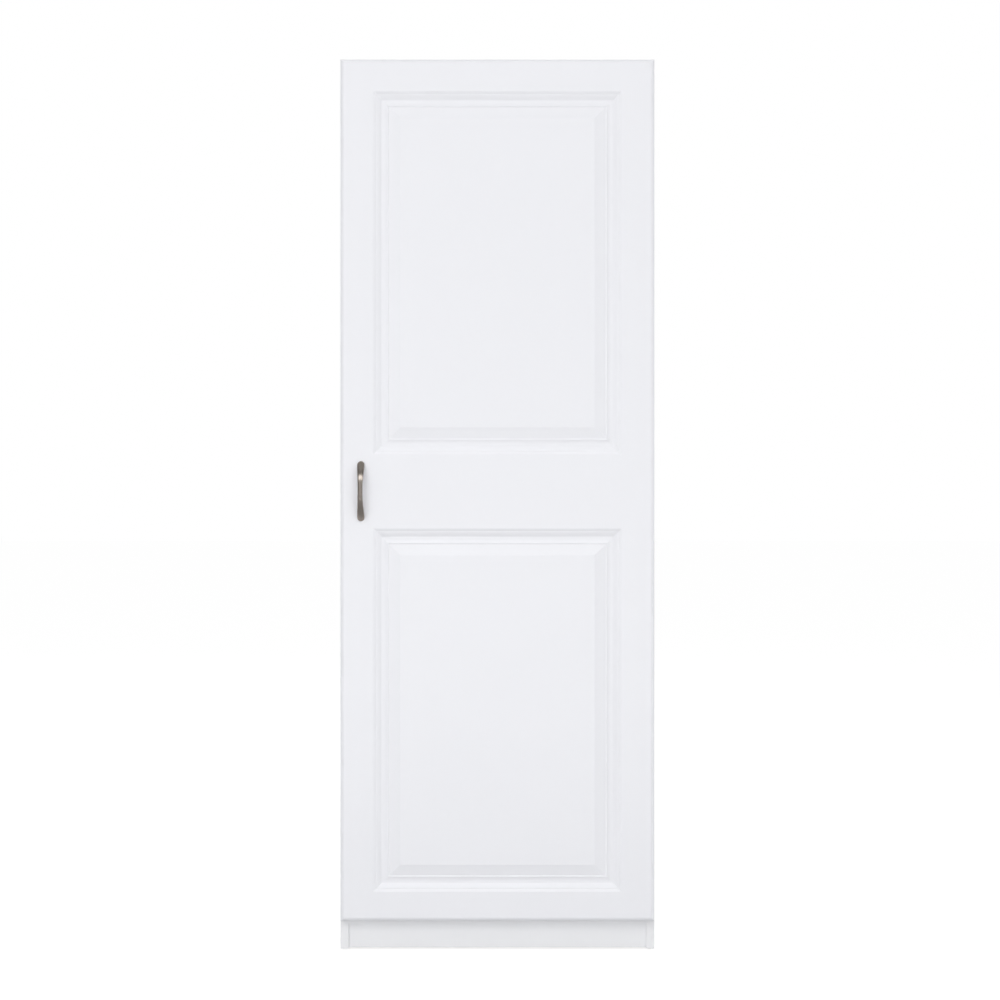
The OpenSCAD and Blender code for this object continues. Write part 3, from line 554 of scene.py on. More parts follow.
def bowedLine(stops, steps):
    # Each stretch between two stops is a shallow bow
    points = [stops[0][:2]]
    for (x0, y0, _), (x1, y1, bow) in zip(stops, stops[1:]):
        count = steps if bow else 1
        for i in range(1, count + 1):
            share = i / count
            points.append((x0 + (x1 - x0) * share, y0 + (y1 - y0) * share + 4 * bow * share * (1 - share)))
    return points

def lineObject(name, points):
    # The profile as a line of vertices, inset along x and depth along y, in metres
    mesh = bpy.data.meshes.new(name)
    mesh.from_pydata([(x * mm, y * mm, 0) for x, y in points],
                     [(i, i + 1) for i in range(len(points) - 1)], [])
    return looseObject(name, mesh)

def newTree(name, *sockets):
    tree = bpy.data.node_groups.new(name, "GeometryNodeTree")
    for label, kind in sockets:
        tree.interface.new_socket(label, in_out="INPUT", socket_type="NodeSocket" + kind)
    tree.interface.new_socket("Geometry", in_out="OUTPUT", socket_type="NodeSocketGeometry")
    return tree, tree.nodes.new("NodeGroupInput").outputs

def endTree(tree, geometry):
    addNode(tree, "NodeGroupOutput", {0: geometry})

def endWithFinish(tree, geometry, finish):
    # Copies made real, then their material set
    realized = addNode(tree, "GeometryNodeRealizeInstances", {0: geometry}).outputs[0]
    endTree(tree, addNode(tree, "GeometryNodeSetMaterial", {
        "Geometry": realized, "Material": finish}).outputs[0])

def runTree(worker, tree, **values):
    # Sets the modifier's inputs by their sockets' identifiers, then returns the plain mesh
    modifier = worker.modifiers.new(tree.name, "NODES")
    modifier.node_group = tree
    for item in tree.interface.items_tree:
        key = item.name.replace(" ", "")
        if item.in_out == "INPUT" and key in values:
            modifier[item.identifier] = values[key]
    worker.update_tag()
    return settled(worker)

def mitredRingTree():
    # Lays a profile round a rectangle with mitred corners: one grid, a row for each profile point and a
    # column for each corner, the first one twice
    tree, given = newTree("mitredRing", ("Profile", "Object"), ("Width", "Float"), ("Height", "Float"),
                          ("Centre", "Vector"))
    profile = addNode(tree, "GeometryNodeObjectInfo", {"Object": given["Profile"]}).outputs["Geometry"]
    count = addNode(tree, "GeometryNodeAttributeDomainSize", {"Geometry": profile}).outputs["Point Count"]
    corners = 4
    columns = corners + 1
    grid = addNode(tree, "GeometryNodeMeshGrid", {"Vertices X": count, "Vertices Y": columns}).outputs["Mesh"]
    index = addNode(tree, "GeometryNodeInputIndex").outputs[0]
    row = mathNode(tree, "FLOOR", mathNode(tree, "DIVIDE", mathNode(tree, "ADD", index, 0.5), columns))
    column = mathNode(tree, "SUBTRACT", index, mathNode(tree, "MULTIPLY", row, columns))
    corner = mathNode(tree, "MODULO", column, corners)
    # Corners 0 to 3 lie at x -, +, +, - and z -, -, +, +
    fromMiddle = mathNode(tree, "SUBTRACT", corner, 1.5)
    signX = mathNode(tree, "SIGN", mathNode(tree, "SUBTRACT", 1, mathNode(tree, "ABSOLUTE", fromMiddle)))
    signZ = mathNode(tree, "SIGN", fromMiddle)
    sampled = addNode(tree, "GeometryNodeSampleIndex", {
        "Geometry": profile, "Value": addNode(tree, "GeometryNodeInputPosition").outputs[0], "Index": row},
        data_type="FLOAT_VECTOR").outputs["Value"]
    part = addNode(tree, "ShaderNodeSeparateXYZ", {0: sampled}).outputs
    half = [mathNode(tree, "SUBTRACT", mathNode(tree, "MULTIPLY", given[side], 0.5), part["X"])
            for side in ("Width", "Height")]
    place = addNode(tree, "ShaderNodeCombineXYZ", {
        "X": mathNode(tree, "MULTIPLY", half[0], signX), "Y": part["Y"],
        "Z": mathNode(tree, "MULTIPLY", half[1], signZ)}).outputs[0]
    place = vectorNode(tree, "ADD", place, given["Centre"])
    endTree(tree, addNode(tree, "GeometryNodeSetPosition", {"Geometry": grid, "Position": place}).outputs[0])
    return tree

def flatFillTree():
    # A standing rectangle with up to two rectangular openings
    tree, given = newTree("flatFill", ("Width", "Float"), ("Height", "Float"), ("Centre", "Vector"),
                          ("Opening Width", "Float"), ("Opening Height", "Float"),
                          ("Lower Opening", "Float"), ("Upper Opening", "Float"))
    join = tree.nodes.new("GeometryNodeJoinGeometry")
    for width, height, up in (("Width", "Height", None), ("Opening Width", "Opening Height", "Lower Opening"),
                              ("Opening Width", "Opening Height", "Upper Opening")):
        outline = addNode(tree, "GeometryNodeCurvePrimitiveQuadrilateral", {
            "Width": given[width], "Height": given[height]}).outputs[0]
        shift = addNode(tree, "ShaderNodeCombineXYZ", {"Y": given[up] if up else 0.0}).outputs[0]
        moved = addNode(tree, "GeometryNodeTransform", {"Geometry": outline, "Translation": shift}).outputs[0]
        tree.links.new(moved, join.inputs[0])
    filled = addNode(tree, "GeometryNodeFillCurve", {"Curve": join.outputs[0]}).outputs[0]
    endTree(tree, addNode(tree, "GeometryNodeTransform", {
        "Geometry": filled, "Translation": given["Centre"], "Rotation": (math.radians(90), 0, 0)}).outputs[0])
    return tree

def mouldedDoorTree(ringTree, fillTree, weld):
    # The whole front: the door's edge, the flat stiles and rails, and a moulding round each panel
    tree, given = newTree("mouldedDoor", ("Edge Profile", "Object"), ("Moulding Profile", "Object"),
                          ("Door Width", "Float"), ("Door Height", "Float"), ("Door Centre", "Vector"),
                          ("Edge Band", "Float"), ("Panel Width", "Float"), ("Panel Height", "Float"),
                          ("Lower Panel", "Float"), ("Upper Panel", "Float"), ("Foil", "Material"))
    join = tree.nodes.new("GeometryNodeJoinGeometry")
    rings = [("Edge Profile", "Door Width", "Door Height", None),
             ("Moulding Profile", "Panel Width", "Panel Height", "Lower Panel"),
             ("Moulding Profile", "Panel Width", "Panel Height", "Upper Panel")]
    for profile, width, height, up in rings:
        centre = given["Door Centre"]
        if up:
            shift = addNode(tree, "ShaderNodeCombineXYZ", {"Z": given[up]}).outputs[0]
            centre = vectorNode(tree, "ADD", centre, shift)
        ring = addNode(tree, "GeometryNodeGroup", {
            "Profile": given[profile], "Width": given[width], "Height": given[height], "Centre": centre},
            node_tree=ringTree)
        tree.links.new(ring.outputs[0], join.inputs[0])
    bands = mathNode(tree, "MULTIPLY", given["Edge Band"], 2)
    fill = addNode(tree, "GeometryNodeGroup", {
        "Width": mathNode(tree, "SUBTRACT", given["Door Width"], bands),
        "Height": mathNode(tree, "SUBTRACT", given["Door Height"], bands),
        "Centre": given["Door Centre"], "Opening Width": given["Panel Width"],
        "Opening Height": given["Panel Height"], "Lower Opening": given["Lower Panel"],
        "Upper Opening": given["Upper Panel"]}, node_tree=fillTree)
    tree.links.new(fill.outputs[0], join.inputs[0])
    merged = addNode(tree, "GeometryNodeMergeByDistance", {"Geometry": join.outputs[0], "Distance": weld})
    endWithFinish(tree, merged.outputs[0], given["Foil"])
    return tree

def cutWith(mesh, cutterMesh):
    # One exact boolean difference, applied
    body, cutter = looseObject("cutBody", mesh), looseObject("cutter", cutterMesh)
    modifier = body.modifiers.new("cut", "BOOLEAN")
    modifier.object, modifier.operation, modifier.solver = cutter, "DIFFERENCE", "EXACT"
    result = settled(body)
    bpy.data.objects.remove(cutter)
    return result

def addRod(bm, start, along, length, radius, sides):
    # A closed cylinder from start, along +x, +y or +z
    axis = Vector(along).normalized()
    place = Vector((0, 0, 1)).rotation_difference(axis).to_matrix().to_4x4()
    place.translation = Vector(start) + axis * (length / 2)
    bmesh.ops.create_cone(bm, cap_ends=True, segments=sides, radius1=radius, radius2=radius, depth=length,
                          matrix=place)

def frontMesh(shape, low, high):
    # The moulded front and the edges, closed by one flat face at the back
    middle = (low + high) / 2
    width, height, thickness = (high.x - low.x) / mm, (high.z - low.z) / mm, (high.y - low.y) / mm
    panelWidth = width - 2 * shape["stile"]
    panelHeight = (height - shape["topRail"] - shape["middleRail"] - shape["bottomRail"]) / 2
    lower = shape["bottomRail"] + panelHeight / 2 - height / 2
    upper = height / 2 - shape["topRail"] - panelHeight / 2
    edgeLine = lineObject("edgeLine", [(0, thickness)] + bowedLine(shape["edge"], shape["bowSteps"]))
    mouldLine = lineObject("mouldLine", bowedLine(shape["moulding"], shape["bowSteps"]))
    tree = mouldedDoorTree(mitredRingTree(), flatFillTree(), shape["weld"] * mm)
    worker = looseObject("doorWorker", bpy.data.meshes.new("doorWorker"))
    mesh = runTree(worker, tree, EdgeProfile=edgeLine, MouldingProfile=mouldLine, DoorWidth=width * mm,
                   DoorHeight=height * mm, DoorCentre=(middle.x, low.y, middle.z),
                   EdgeBand=shape["edge"][-1][0] * mm, PanelWidth=panelWidth * mm,
                   PanelHeight=panelHeight * mm, LowerPanel=lower * mm, UpperPanel=upper * mm,
                   Foil=finishes["foil"])
    for line in (edgeLine, mouldLine):
        bpy.data.objects.remove(line)
    bm = bmesh.new()
    bm.from_mesh(mesh)
    bmesh.ops.holes_fill(bm, edges=[e for e in bm.edges if e.is_boundary], sides=4)
    bmesh.ops.recalc_face_normals(bm, faces=bm.faces)
    print("door faces:", len(bm.faces), "open edges:", sum(e.is_boundary for e in bm.edges))
    bm.to_mesh(mesh)
    bm.free()
    return mesh

def boreCutters(shape, low, high):
    # Rods for the hinge cups and the handle's screws, placed by the pieces that sit in the bores
    beyond, cupRadius = shape["cutBeyond"] * mm, shape["cupRadius"] * mm
    cutters = bmesh.new()
    for level in hingeLevels:
        cupLow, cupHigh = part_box("hinge_cup_" + level)
        start = (high.x - shape["cupTab"] * mm - cupRadius, cupLow.y, (cupLow.z + cupHigh.z) / 2)
        addRod(cutters, start, (0, 1, 0), high.y - cupLow.y + beyond, cupRadius, shape["cupSides"])
    for boltLow, boltHigh in looseBoxes("handle_screws"):
        centre = (boltLow + boltHigh) / 2
        addRod(cutters, (centre.x, low.y - beyond, centre.z), (0, 1, 0), high.y - low.y + 2 * beyond,
               shape["boltRadius"] * mm, shape["boltSides"])
    return plainMesh(cutters, "doorBores")

def makeDoor(shape):
    low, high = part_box("door_slab")
    inset = shape["boreInset"] * mm
    bm = bmesh.new()
    bm.from_mesh(cutWith(frontMesh(shape, low, high), boreCutters(shape, low, high)))
    bmesh.ops.remove_doubles(bm, verts=bm.verts, dist=shape["cutWeld"] * mm)
    for face in bm.faces:
        centre = face.calc_center_median()
        ahead = centre.y < high.y - shape["backReach"] * mm
        within = low.x + inset < centre.x < high.x - inset and centre.y > low.y + shape["boreFrom"] * mm
        face.material_index = doorBack if not ahead else doorRaw if within else doorFoil
    mesh = smoothMesh(bm, "doorLeaf", shape["smoothTurn"])
    mesh.materials.clear()
    for finish in ("foil", "melamine", "chipboard"):
        mesh.materials.append(finishes[finish])
    return placed("doorLeaf", mesh, "door", "white_door", "door_slab")

makeDoor(doorShape)
print("door made")


# Handle, in millimetres: sections along its length, each a crowned and rounded outline
pullShape = {
    "endWidth": 13.5, "waistWidth": 9.2, "screwSpacing": 96, "middleThickness": 7, "tip": 2.4, "foot": 17,
    "leastHalf": 0.35,  # of the width, at the very ends
    "crownRadius": 15, "crownPower": 6,  # a higher power keeps the crown full nearer to its corners
    "corner": 0.9, "cornerShare": 0.45,  # a corner takes no more than this share of a thin section
    "stations": 120, "bunching": 0.35,  # how strongly the sections crowd towards the ends
    "cornerSteps": 5, "crownSteps": 12, "smoothTurn": 40,
}

def arcSag(radius, across):
    return radius - math.sqrt(max(radius ** 2 - across ** 2, 0))

def pullSection(shape, along, length, out):
    # Half width, outer and inner height of the pull at a place along its length
    rise = out - shape["tip"]
    outerRadius = ((length / 2) ** 2 + rise ** 2) / (2 * rise)
    grip = length / 2 - shape["foot"]
    innerRise = out - shape["middleThickness"]
    innerRadius = (grip ** 2 + innerRise ** 2) / (2 * innerRise)
    waistCut = (shape["endWidth"] - shape["waistWidth"]) / 2
    waistRadius = ((shape["screwSpacing"] / 2) ** 2 + waistCut ** 2) / (2 * waistCut)
    endRadius = shape["endWidth"] / 2
    pastEnd = abs(along) - (length / 2 - endRadius)
    half = math.sqrt(max(endRadius ** 2 - max(pastEnd, 0) ** 2, 0))
    if abs(along) < shape["screwSpacing"] / 2:
        half = min(half, shape["waistWidth"] / 2 + arcSag(waistRadius, along))
    outer = out - arcSag(outerRadius, along)
    inner = max(innerRise - arcSag(innerRadius, along), 0) if abs(along) < grip else 0
    return max(half, shape["leastHalf"]), outer, inner

def sectionOutline(shape, half, outer, inner):
    # Points (across, out), anticlockwise from the back's left corner
    crown = arcSag(shape["crownRadius"], half)
    side = outer - crown
    corner = min(shape["corner"], half * shape["cornerShare"], (side - inner) * shape["cornerShare"])
    points = []
    for middle, start in (((half - corner, inner + corner), -90), ((half - corner, side - corner), 0)):
        points += arcPoints(middle, (corner, corner), start, start + 90, shape["cornerSteps"])
    inside = half - corner
    for i in range(1, shape["crownSteps"]):
        across = inside - 2 * inside * i / shape["crownSteps"]
        fall = (crown - arcSag(shape["crownRadius"], inside)) * (abs(across) / inside) ** shape["crownPower"]
        points.append((across, side + (crown - arcSag(shape["crownRadius"], across)) - fall))
    for middle, start in (((-half + corner, side - corner), 90), ((-half + corner, inner + corner), 180)):
        points += arcPoints(middle, (corner, corner), start, start + 90, shape["cornerSteps"])
    return points

def makePull(shape):
    low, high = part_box("door_handle")
    length, out = (high.z - low.z) / mm, (high.y - low.y) / mm
    middle = (low + high) / 2
    bm = bmesh.new()
    rings = []
    for i in range(shape["stations"] + 1):
        crowded = 0.5 - 0.5 * math.cos(math.pi * i / shape["stations"])
        share = shape["bunching"] * crowded + (1 - shape["bunching"]) * i / shape["stations"]
        along = (share - 0.5) * length
        outline = sectionOutline(shape, *pullSection(shape, along, length, out))
        rings.append([bm.verts.new((middle.x + x * mm, high.y - y * mm, middle.z + along * mm))
                      for x, y in outline])
    closeRings(bm, rings)
    bmesh.ops.recalc_face_normals(bm, faces=bm.faces)
    mesh = smoothMesh(bm, "doorPull", shape["smoothTurn"])
    mesh.materials.append(finishes["nickel"])
    return placed("doorPull", mesh, "door", "satin_nickel", "door_handle")

makePull(pullShape)
print("handle made")


# Small turned and pressed pieces, each drawn once about +z with its seen face up, at z = 0 and below
turnedSmooth = 35

def turnedMesh(name, profile, sides=32):
    # A closed outline of (radius, height) spun about z, its sharp edges kept
    bm = bmesh.new()
    rings = []
    for radius, height in profile:
        if radius == 0:
            rings.append([bm.verts.new((0, 0, height))])
        else:
            rings.append([bm.verts.new((radius * math.cos(a), radius * math.sin(a), height))
                          for a in (2 * math.pi * i / sides for i in range(sides))])
    for first, second in zip(rings, rings[1:]):
        for i in range(sides):
            j = (i + 1) % sides
            corners = [first[i % len(first)], first[j % len(first)],
                       second[j % len(second)], second[i % len(second)]]
            corners = list(dict.fromkeys(corners))
            if len(corners) > 2:
                bm.faces.new(corners)
    bmesh.ops.recalc_face_normals(bm, faces=bm.faces)
    return smoothMesh(bm, name, turnedSmooth)

def domeLine(radius, rise, steps):
    # From a dome's rim up to its middle
    return arcPoints((0, -rise), (radius, rise), 0, 90, steps)[:-1] + [(0, 0)]

def scatterTree():
    # A drawn piece at each site, turned as the site says and spun about its own axis by a fixed seed
    tree, given = newTree("scatterPieces", ("Sites", "Geometry"), ("Piece", "Object"), ("Spin", "Float"),
                          ("Seed", "Int"), ("Finish", "Material"))
    turn = addNode(tree, "GeometryNodeInputNamedAttribute", {"Name": "turn"},
                   data_type="FLOAT_VECTOR").outputs[0]
    piece = addNode(tree, "GeometryNodeObjectInfo", {
        "Object": given["Piece"], "As Instance": True}).outputs["Geometry"]
    spread = addNode(tree, "GeometryNodeInstanceOnPoints", {
        "Points": given["Sites"], "Instance": piece,
        "Rotation": addNode(tree, "FunctionNodeEulerToRotation", {0: turn}).outputs[0]}).outputs[0]
    spin = addNode(tree, "FunctionNodeRandomValue", {
        "Max": given["Spin"], "Seed": given["Seed"]}).outputs["Value"]
    about = addNode(tree, "ShaderNodeCombineXYZ", {"Z": spin}).outputs[0]
    spun = addNode(tree, "GeometryNodeRotateInstances", {
        "Instances": spread, "Rotation": about, "Local Space": True}).outputs[0]
    endWithFinish(tree, spun, given["Finish"])
    return tree

facing = {  # turns that bring a piece's +z to a direction; "turned" leaves it up and turns it half round
    "up": (0, 0, 0), "down": (math.pi, 0, 0), "left": (0, -math.pi / 2, 0), "back": (-math.pi / 2, 0, 0),
    "turned": (0, 0, math.pi),
}
pieceTree = scatterTree()

def scatter(name, drawn, sites, finish, body, slot, node, spin=0.0, seed=1):
    # sites: pairs of a place and a direction's name
    mesh = bpy.data.meshes.new(name + "Sites")
    mesh.from_pydata([tuple(place) for place, _ in sites], [], [])
    turns = mesh.attributes.new("turn", "FLOAT_VECTOR", "POINT")
    for i, (_, way) in enumerate(sites):
        turns.data[i].vector = facing[way]
    model = looseObject(name + "Drawn", drawn)
    made = runTree(looseObject(name + "Worker", mesh), pieceTree, Piece=model, Spin=spin, Seed=seed,
                   Finish=finishes[finish])
    bpy.data.objects.remove(model)
    made.name = name
    return placed(name, made, body, slot, node)

# Nails of the back: a shallow domed head with a punched middle, and a blunt point
nailShape = {
    "head": 0.6 * mm, "shank": 0.75 * mm, "pointLength": 2 * mm, "pointShare": 0.2,
    "rimDrop": 0.15 * mm, "shoulderShare": 0.7, "shoulderDrop": 0.03 * mm,
    "punchShare": 0.35, "punchFoot": 0.8, "punchWall": 0.1 * mm, "punchDepth": 0.12 * mm,
    "sides": 16, "seed": 3,
}

def makeNails(shape):
    boxes = looseBoxes("back_panel_nails")
    low, high = boxes[0]
    radius, length, shank = (high.x - low.x) / 2, high.y - low.y, shape["shank"]
    punch = radius * shape["punchShare"]
    profile = [(0, -length), (shank * shape["pointShare"], -length), (shank, -length + shape["pointLength"]),
               (shank, -shape["head"]), (radius, -shape["head"]), (radius, -shape["rimDrop"]),
               (radius * shape["shoulderShare"], -shape["shoulderDrop"]), (punch, 0),
               (punch * shape["punchFoot"], -shape["punchWall"]), (0, -shape["punchDepth"])]
    sites = [(((a.x + b.x) / 2, b.y, (a.z + b.z) / 2), "back") for a, b in boxes]
    scatter("backNails", turnedMesh("backNail", profile, shape["sides"]), sites, "plated", "carcass",
            "bright_steel", "back_panel_nails", math.tau, shape["seed"])

makeNails(nailShape)

# Shelf pins: stem in the side, half-round saddle with a flat top and a rounded nose
pinShape = {
    "length": 8.5 * mm, "flat": 2.5 * mm, "stemRadius": 2.45 * mm, "stemSides": 24, "arcSteps": 14,
    "nose": [(0, -0.5 * mm), (0.25 * mm, -0.1 * mm), (0.7 * mm, 0)],  # way in from the tip, change of radius
    "smoothTurn": 30,
}

def makePins(shape):
    boxes = looseBoxes("shelf_pins")
    low, high = boxes[0]
    bm = bmesh.new()

    def halfRound(x, grow):
        radius = (high.y - low.y) / 2 + grow
        outline = arcPoints((0, -shape["flat"]), (radius, radius), 180, 360, shape["arcSteps"])
        return [bm.verts.new((x, y, z)) for y, z in outline + [(radius, 0), (-radius, 0)]]

    stations = [(along - shape["length"], grow) for along, grow in shape["nose"]] + [(0, 0)]
    closeRings(bm, [halfRound(x, grow) for x, grow in stations])
    addRod(bm, (0, 0, -shape["flat"]), (1, 0, 0), high.x - low.x - shape["length"], shape["stemRadius"],
           shape["stemSides"])
    bmesh.ops.recalc_face_normals(bm, faces=bm.faces)
    drawn = smoothMesh(bm, "shelfPin", shape["smoothTurn"])
    inner = max(a.x for a, b in boxes if a.x > 0) + shape["length"]
    right = [((inner, (a.y + b.y) / 2, b.z), "up") for a, b in boxes if a.x > 0]
    left = [((-inner, (a.y + b.y) / 2, b.z), "turned") for a, b in boxes if a.x < 0]
    scatter("shelfPins", drawn, right + left, "plated", "carcass", "bright_steel", "shelf_pins")

makePins(pinShape)

# Screws of the handle, the hinges and the plates: a domed head with a cross cut in it, and a plain shank
screwShape = {
    "domeShare": 0.75, "domeSteps": 6, "rimShare": 0.96,  # of the head's height, and of its radius
    "tipShare": 0.6,  # of the shank's radius
    "crossReach": 1.15, "crossWidth": 0.32, "crossDepth": 0.62,  # of the head's radius, and of its height
    "crossTaper": 0.55, "cutBeyond": 1 * mm,
}
screws = [  # name, node, body, head's way, head's radius and height and shank's radius in millimetres, seed
    ("pullScrews", "handle_screws", "door", "back", (4, 2, 2), 5),
    ("cupScrews", "hinge_cup_screws", "door", "back", (3.3, 0.9, 1.6), 6),
    ("plateScrews", "mounting_plate_screws", "carcass", "left", (4, 1.5, 2.4), 7),
    ("fixingScrews", "arm_fixing_screws", "carcass", "left", (3.6, 1.8, 2), 8),
    ("adjustingScrews", "arm_adjusting_screws", "carcass", "left", (3.6, 1.8, 2), 9),
]

def crossCutter(shape, reach, width, depth):
    # A tapered cross, to be cut in a screw's head
    bm = bmesh.new()
    arm, tip = width / 2, reach / 2
    outline = [(arm, tip), (arm, arm), (tip, arm), (tip, -arm), (arm, -arm), (arm, -tip),
               (-arm, -tip), (-arm, -arm), (-tip, -arm), (-tip, arm), (-arm, arm), (-arm, tip)]
    closeRings(bm, [[bm.verts.new((x * size, y * size, z)) for x, y in outline]
                    for z, size in ((shape["cutBeyond"], 1.0), (-depth, shape["crossTaper"]))])
    bmesh.ops.recalc_face_normals(bm, faces=bm.faces)
    return plainMesh(bm, "crossCutter")

def screwMesh(shape, name, headRadius, headHeight, shankRadius, shankLength):
    foot, tip = -headHeight - shankLength, shape["tipShare"] * shankRadius
    profile = [(0, foot), (tip, foot), (shankRadius, foot + 2 * tip), (shankRadius, -headHeight),
               (headRadius * shape["rimShare"], -headHeight)]
    profile += domeLine(headRadius, headHeight * shape["domeShare"], shape["domeSteps"])
    cross = crossCutter(shape, headRadius * shape["crossReach"], headRadius * shape["crossWidth"],
                        headHeight * shape["crossDepth"])
    bm = bmesh.new()
    bm.from_mesh(cutWith(turnedMesh(name, profile), cross))
    return smoothMesh(bm, name, turnedSmooth)

def makeScrews(shape, name, node, body, way, sizes, seed):
    axis, sign = {"back": (1, 1), "left": (0, -1)}[way]
    headRadius, headHeight, shankRadius = (size * mm for size in sizes)
    boxes = looseBoxes(node)
    sites = []
    for low, high in boxes:
        place = (low + high) / 2
        place[axis] = (high if sign > 0 else low)[axis]
        sites.append((place, way))
    length = boxes[0][1][axis] - boxes[0][0][axis] - headHeight
    drawn = screwMesh(shape, name + "Drawn", headRadius, headHeight, shankRadius, length)
    scatter(name, drawn, sites, "plated", body, "bright_steel", node, math.tau, seed)

for row in screws:
    makeScrews(screwShape, *row)

# Cover caps under the boards: a crowned disc on a stem
capShape = {
    "height": 0.8 * mm, "stemRadius": 2.6 * mm, "rim": 0.5 * mm, "shoulderInset": 0.25 * mm,
    "shoulderDrop": 0.2 * mm, "crownInset": 1.2 * mm, "crownDrop": 0.05 * mm, "sides": 40, "seed": 4,
}

def makeCaps(shape):
    boxes = looseBoxes("cam_covers")
    low, high = boxes[0]
    radius, length = (high.x - low.x) / 2, high.z - low.z
    profile = [(0, -length), (shape["stemRadius"], -length), (shape["stemRadius"], -shape["height"]),
               (radius, -shape["height"]), (radius, -shape["rim"]),
               (radius - shape["shoulderInset"], -shape["shoulderDrop"]),
               (radius - shape["crownInset"], -shape["crownDrop"]), (0, 0)]
    sites = [(((a.x + b.x) / 2, (a.y + b.y) / 2, a.z), "down") for a, b in boxes]
    scatter("camCaps", turnedMesh("camCap", profile, shape["sides"]), sites, "plastic", "carcass",
            "white_plastic", "cam_covers", math.tau, shape["seed"])

makeCaps(capShape)

# Bumpers on the door's back: a dome over a low rim
bumperShape = {"rim": 0.5 * mm, "domeSteps": 8}

def makeBumpers(shape):
    boxes = looseBoxes("door_bumpers")
    low, high = boxes[0]
    radius, height = (high.x - low.x) / 2, high.y - low.y
    profile = [(0, -height), (radius, -height)] + domeLine(radius, height - shape["rim"], shape["domeSteps"])
    sites = [(((a.x + b.x) / 2, b.y, (a.z + b.z) / 2), "back") for a, b in boxes]
    scatter("doorBumpers", turnedMesh("bumper", profile), sites, "bumper", "door", "clear_bumper",
            "door_bumpers")

makeBumpers(bumperShape)

# Cast, pressed and moulded pieces: the CAD's own form with its edges eased
easeShape = {"steps": 2, "edgeTurn": 30, "smoothTurn": 28}
easedPieces = [  # name, node, body, slot, finish, ease in millimetres
    ("footGlides", "foot_glides", "carcass", "white_plastic", "plastic", 0.5),
    ("camHousings", "cam_housings", "carcass", "cast_zinc", "zinc", 0.2),
]
for level in hingeLevels:
    easedPieces += [
        (level + "HingeCup", "hinge_cup_" + level, "door", "bright_steel", "plated", 0.2),
        (level + "HingeArm", "hinge_arm_" + level, "carcass", "bright_steel", "plated", 0.15),
        (level + "HingePlate", "mounting_plate_" + level, "carcass", "bright_steel", "plated", 0.3),
    ]

def easedCopy(shape, name, node, body, slot, finish, ease):
    worker = looseObject(name + "Worker", plainMesh(cadCopy(node), name))
    modifier = worker.modifiers.new("ease", "BEVEL")
    modifier.width, modifier.segments, modifier.limit_method = ease * mm, shape["steps"], "ANGLE"
    modifier.angle_limit = math.radians(shape["edgeTurn"])
    eased = settled(worker)
    eased.name = name
    eased.materials.clear()
    eased.materials.append(finishes[finish])
    for polygon in eased.polygons:
        polygon.material_index = 0
    eased.shade_smooth()
    eased.set_sharp_from_angle(angle=math.radians(shape["smoothTurn"]))
    return placed(name, eased, body, slot, node)

for row in easedPieces:
    easedCopy(easeShape, *row)
print("fittings made")

# Nodes that stay as the CAD has them, with a finish each
keptNodes = {"cam_bolts": "plated", "wood_dowels": "beech", "closing_springs": "plated"}
keptNodes.update(("hinge_pin_" + level, "plated") for level in hingeLevels)
for node, finish in keptNodes.items():
    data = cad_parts[node].data
    data.materials.clear()
    data.materials.append(finishes[finish])


# Studio: a pale floor, a long soft light high in front, a wide faint panel behind the camera, weak lights at
# the left and low down, and one light each for the left side, the right side and the back
studio = {
    "floorColour": (0.45, 0.45, 0.455, 1), "floorShade": (0.44, 0.44, 0.446, 1), "floorCloud": (3, 3),
    "floorSize": 60.0,
    "floorSeen": 0.35, "floorGlow": 0.80,  # the floor that the camera sees: its grey, and its own white light
    "floorFade": (-0.6, -0.1),  # y where gloss begins to see that floor, and where it sees it in full
    "worldLight": 0.55,
    # Gloss sees white behind the cabinet and frontSeen on the camera's side, blended over backdropTurn, and
    # a ceiling that comes in between the two steepnesses of ceilingRise
    "backdropTurn": 0.15, "frontSeen": 0.20, "ceilingRise": (0.6, 0.85), "ceilingSeen": 0.50,
}
lamps = [  # name, place, aim, width, height, power, shows in gloss
    ("stripLight", (0, -3.45, 3.31), (0, -0.22, 0.95), 6.0, 0.9, 45, True),
    ("frontPanel", (0, -4.2, 1.4), (0, -0.22, 1.4), 6.0, 2.8, 27, True),
    ("leftLight", (-2.27, -3.46, 1.46), (0, -0.22, 0.9), 1.2, 1.2, 12, False),
    ("plinthLight", (0, -3.0, 0.25), (0, -0.2, 0.15), 3.0, 0.35, 20, False),
    ("leftSideLight", (-2.9, 2.2, 1.2), (-0.3, 0, 0.9), 2.0, 2.0, 20, False),
    ("rightSideLight", (3.5, 0.5, 1.2), (0.3, 0, 0.9), 2.0, 2.0, 18, False),
    ("backLight", (0.8, 3.4, 3.0), (0, 0, 1.0), 2.5, 2.5, 22, True),
]

def studioRays(tree):
    # 1 for what the camera sees straight on, and 1 for what it sees in gloss or through glass
    rays = addNode(tree, "ShaderNodeLightPath").outputs
    mirrored = mathNode(tree, "MAXIMUM", rays["Is Glossy Ray"], rays["Is Transmission Ray"])
    return rays["Is Camera Ray"], mirrored

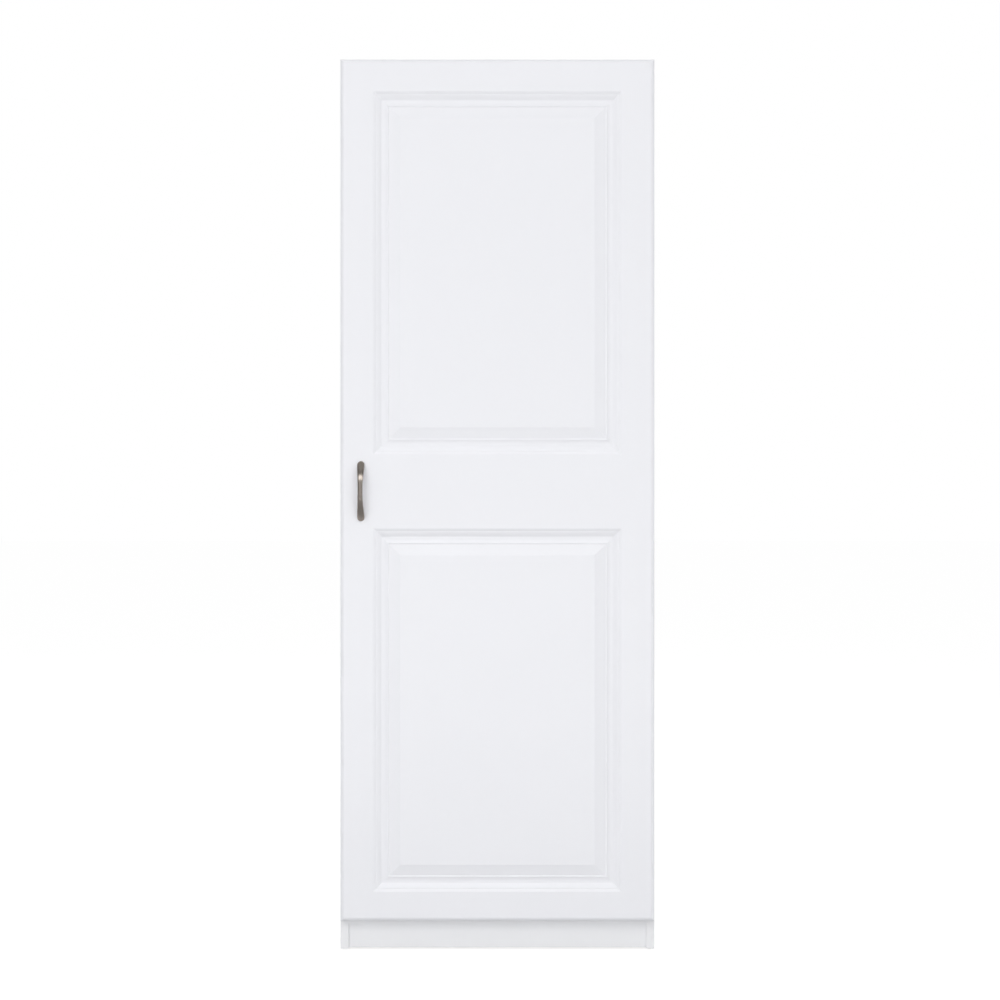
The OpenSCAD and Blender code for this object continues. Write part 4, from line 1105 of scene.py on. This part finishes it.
def makeWorld(look):
    world = bpy.data.worlds.new("studioWorld")
    world.use_nodes = True
    tree = world.node_tree
    direct, mirrored = studioRays(tree)
    direction = addNode(tree, "ShaderNodeTexCoord").outputs["Generated"]
    part = addNode(tree, "ShaderNodeSeparateXYZ", {0: direction}).outputs
    around = rampNode(tree, part["Y"], -look["backdropTurn"], look["backdropTurn"], look["frontSeen"], 1)
    above = rampNode(tree, part["Z"], *look["ceilingRise"], 0, look["ceilingSeen"])
    seen = mathNode(tree, "MAXIMUM", around, above)
    light = mixValues(tree, mirrored, look["worldLight"], seen)
    background = tree.nodes["Background"]
    background.inputs["Color"].default_value = (1, 1, 1, 1)
    tree.links.new(mixValues(tree, direct, light, 1.0), background.inputs["Strength"])
    bpy.context.scene.world = world

def makeFloor(look):
    half = look["floorSize"] / 2
    mesh = bpy.data.meshes.new("studioFloor")
    mesh.from_pydata([(-half, -half, 0), (half, -half, 0), (half, half, 0), (-half, half, 0)], [],
                     [(0, 1, 2, 3)])
    floor = looseObject("studioFloor", mesh)
    material = bpy.data.materials.new("paleFloor")
    material.use_nodes = True
    tree = material.node_tree
    tree.nodes.remove(tree.nodes["Principled BSDF"])
    direct, mirrored = studioRays(tree)
    place = objectPlace(tree)
    depth = addNode(tree, "ShaderNodeSeparateXYZ", {0: place}).outputs["Y"]
    behind = rampNode(tree, depth, *look["floorFade"], 0, 1)
    seen = mathNode(tree, "MAXIMUM", direct, mathNode(tree, "MULTIPLY", mirrored, behind))
    cloud = noiseNode(tree, place, *look["floorCloud"])
    colour = mixColours(tree, cloud, look["floorColour"], look["floorShade"])
    lit = addNode(tree, "ShaderNodeBsdfDiffuse", {"Color": colour}).outputs[0]
    grey = look["floorSeen"]
    faint = addNode(tree, "ShaderNodeBsdfDiffuse", {"Color": (grey, grey, grey, 1)}).outputs[0]
    glow = addNode(tree, "ShaderNodeEmission", {"Strength": look["floorGlow"]}).outputs[0]
    shown = addNode(tree, "ShaderNodeAddShader", {0: faint, 1: glow}).outputs[0]
    mixed = addNode(tree, "ShaderNodeMixShader", {0: seen, 1: lit, 2: shown}).outputs[0]
    tree.links.new(mixed, tree.nodes["Material Output"].inputs["Surface"])
    mesh.materials.append(material)

def makeLamps(rows):
    for name, place, aim, width, height, power, glossy in rows:
        data = bpy.data.lights.new(name, "AREA")
        data.shape, data.size, data.size_y, data.energy = "RECTANGLE", width, height, power
        lamp = bpy.data.objects.new(name, data)
        lamp.location = place
        lamp.rotation_euler = (Vector(aim) - Vector(place)).to_track_quat("-Z", "Y").to_euler()
        lamp.visible_camera = False
        lamp.visible_glossy = glossy
        bpy.context.scene.collection.objects.link(lamp)

makeCamera(photoView)
makeWorld(studio)
makeFloor(studio)
makeLamps(lamps)
bpy.context.scene.view_settings.view_transform = "Standard"
print("studio made")
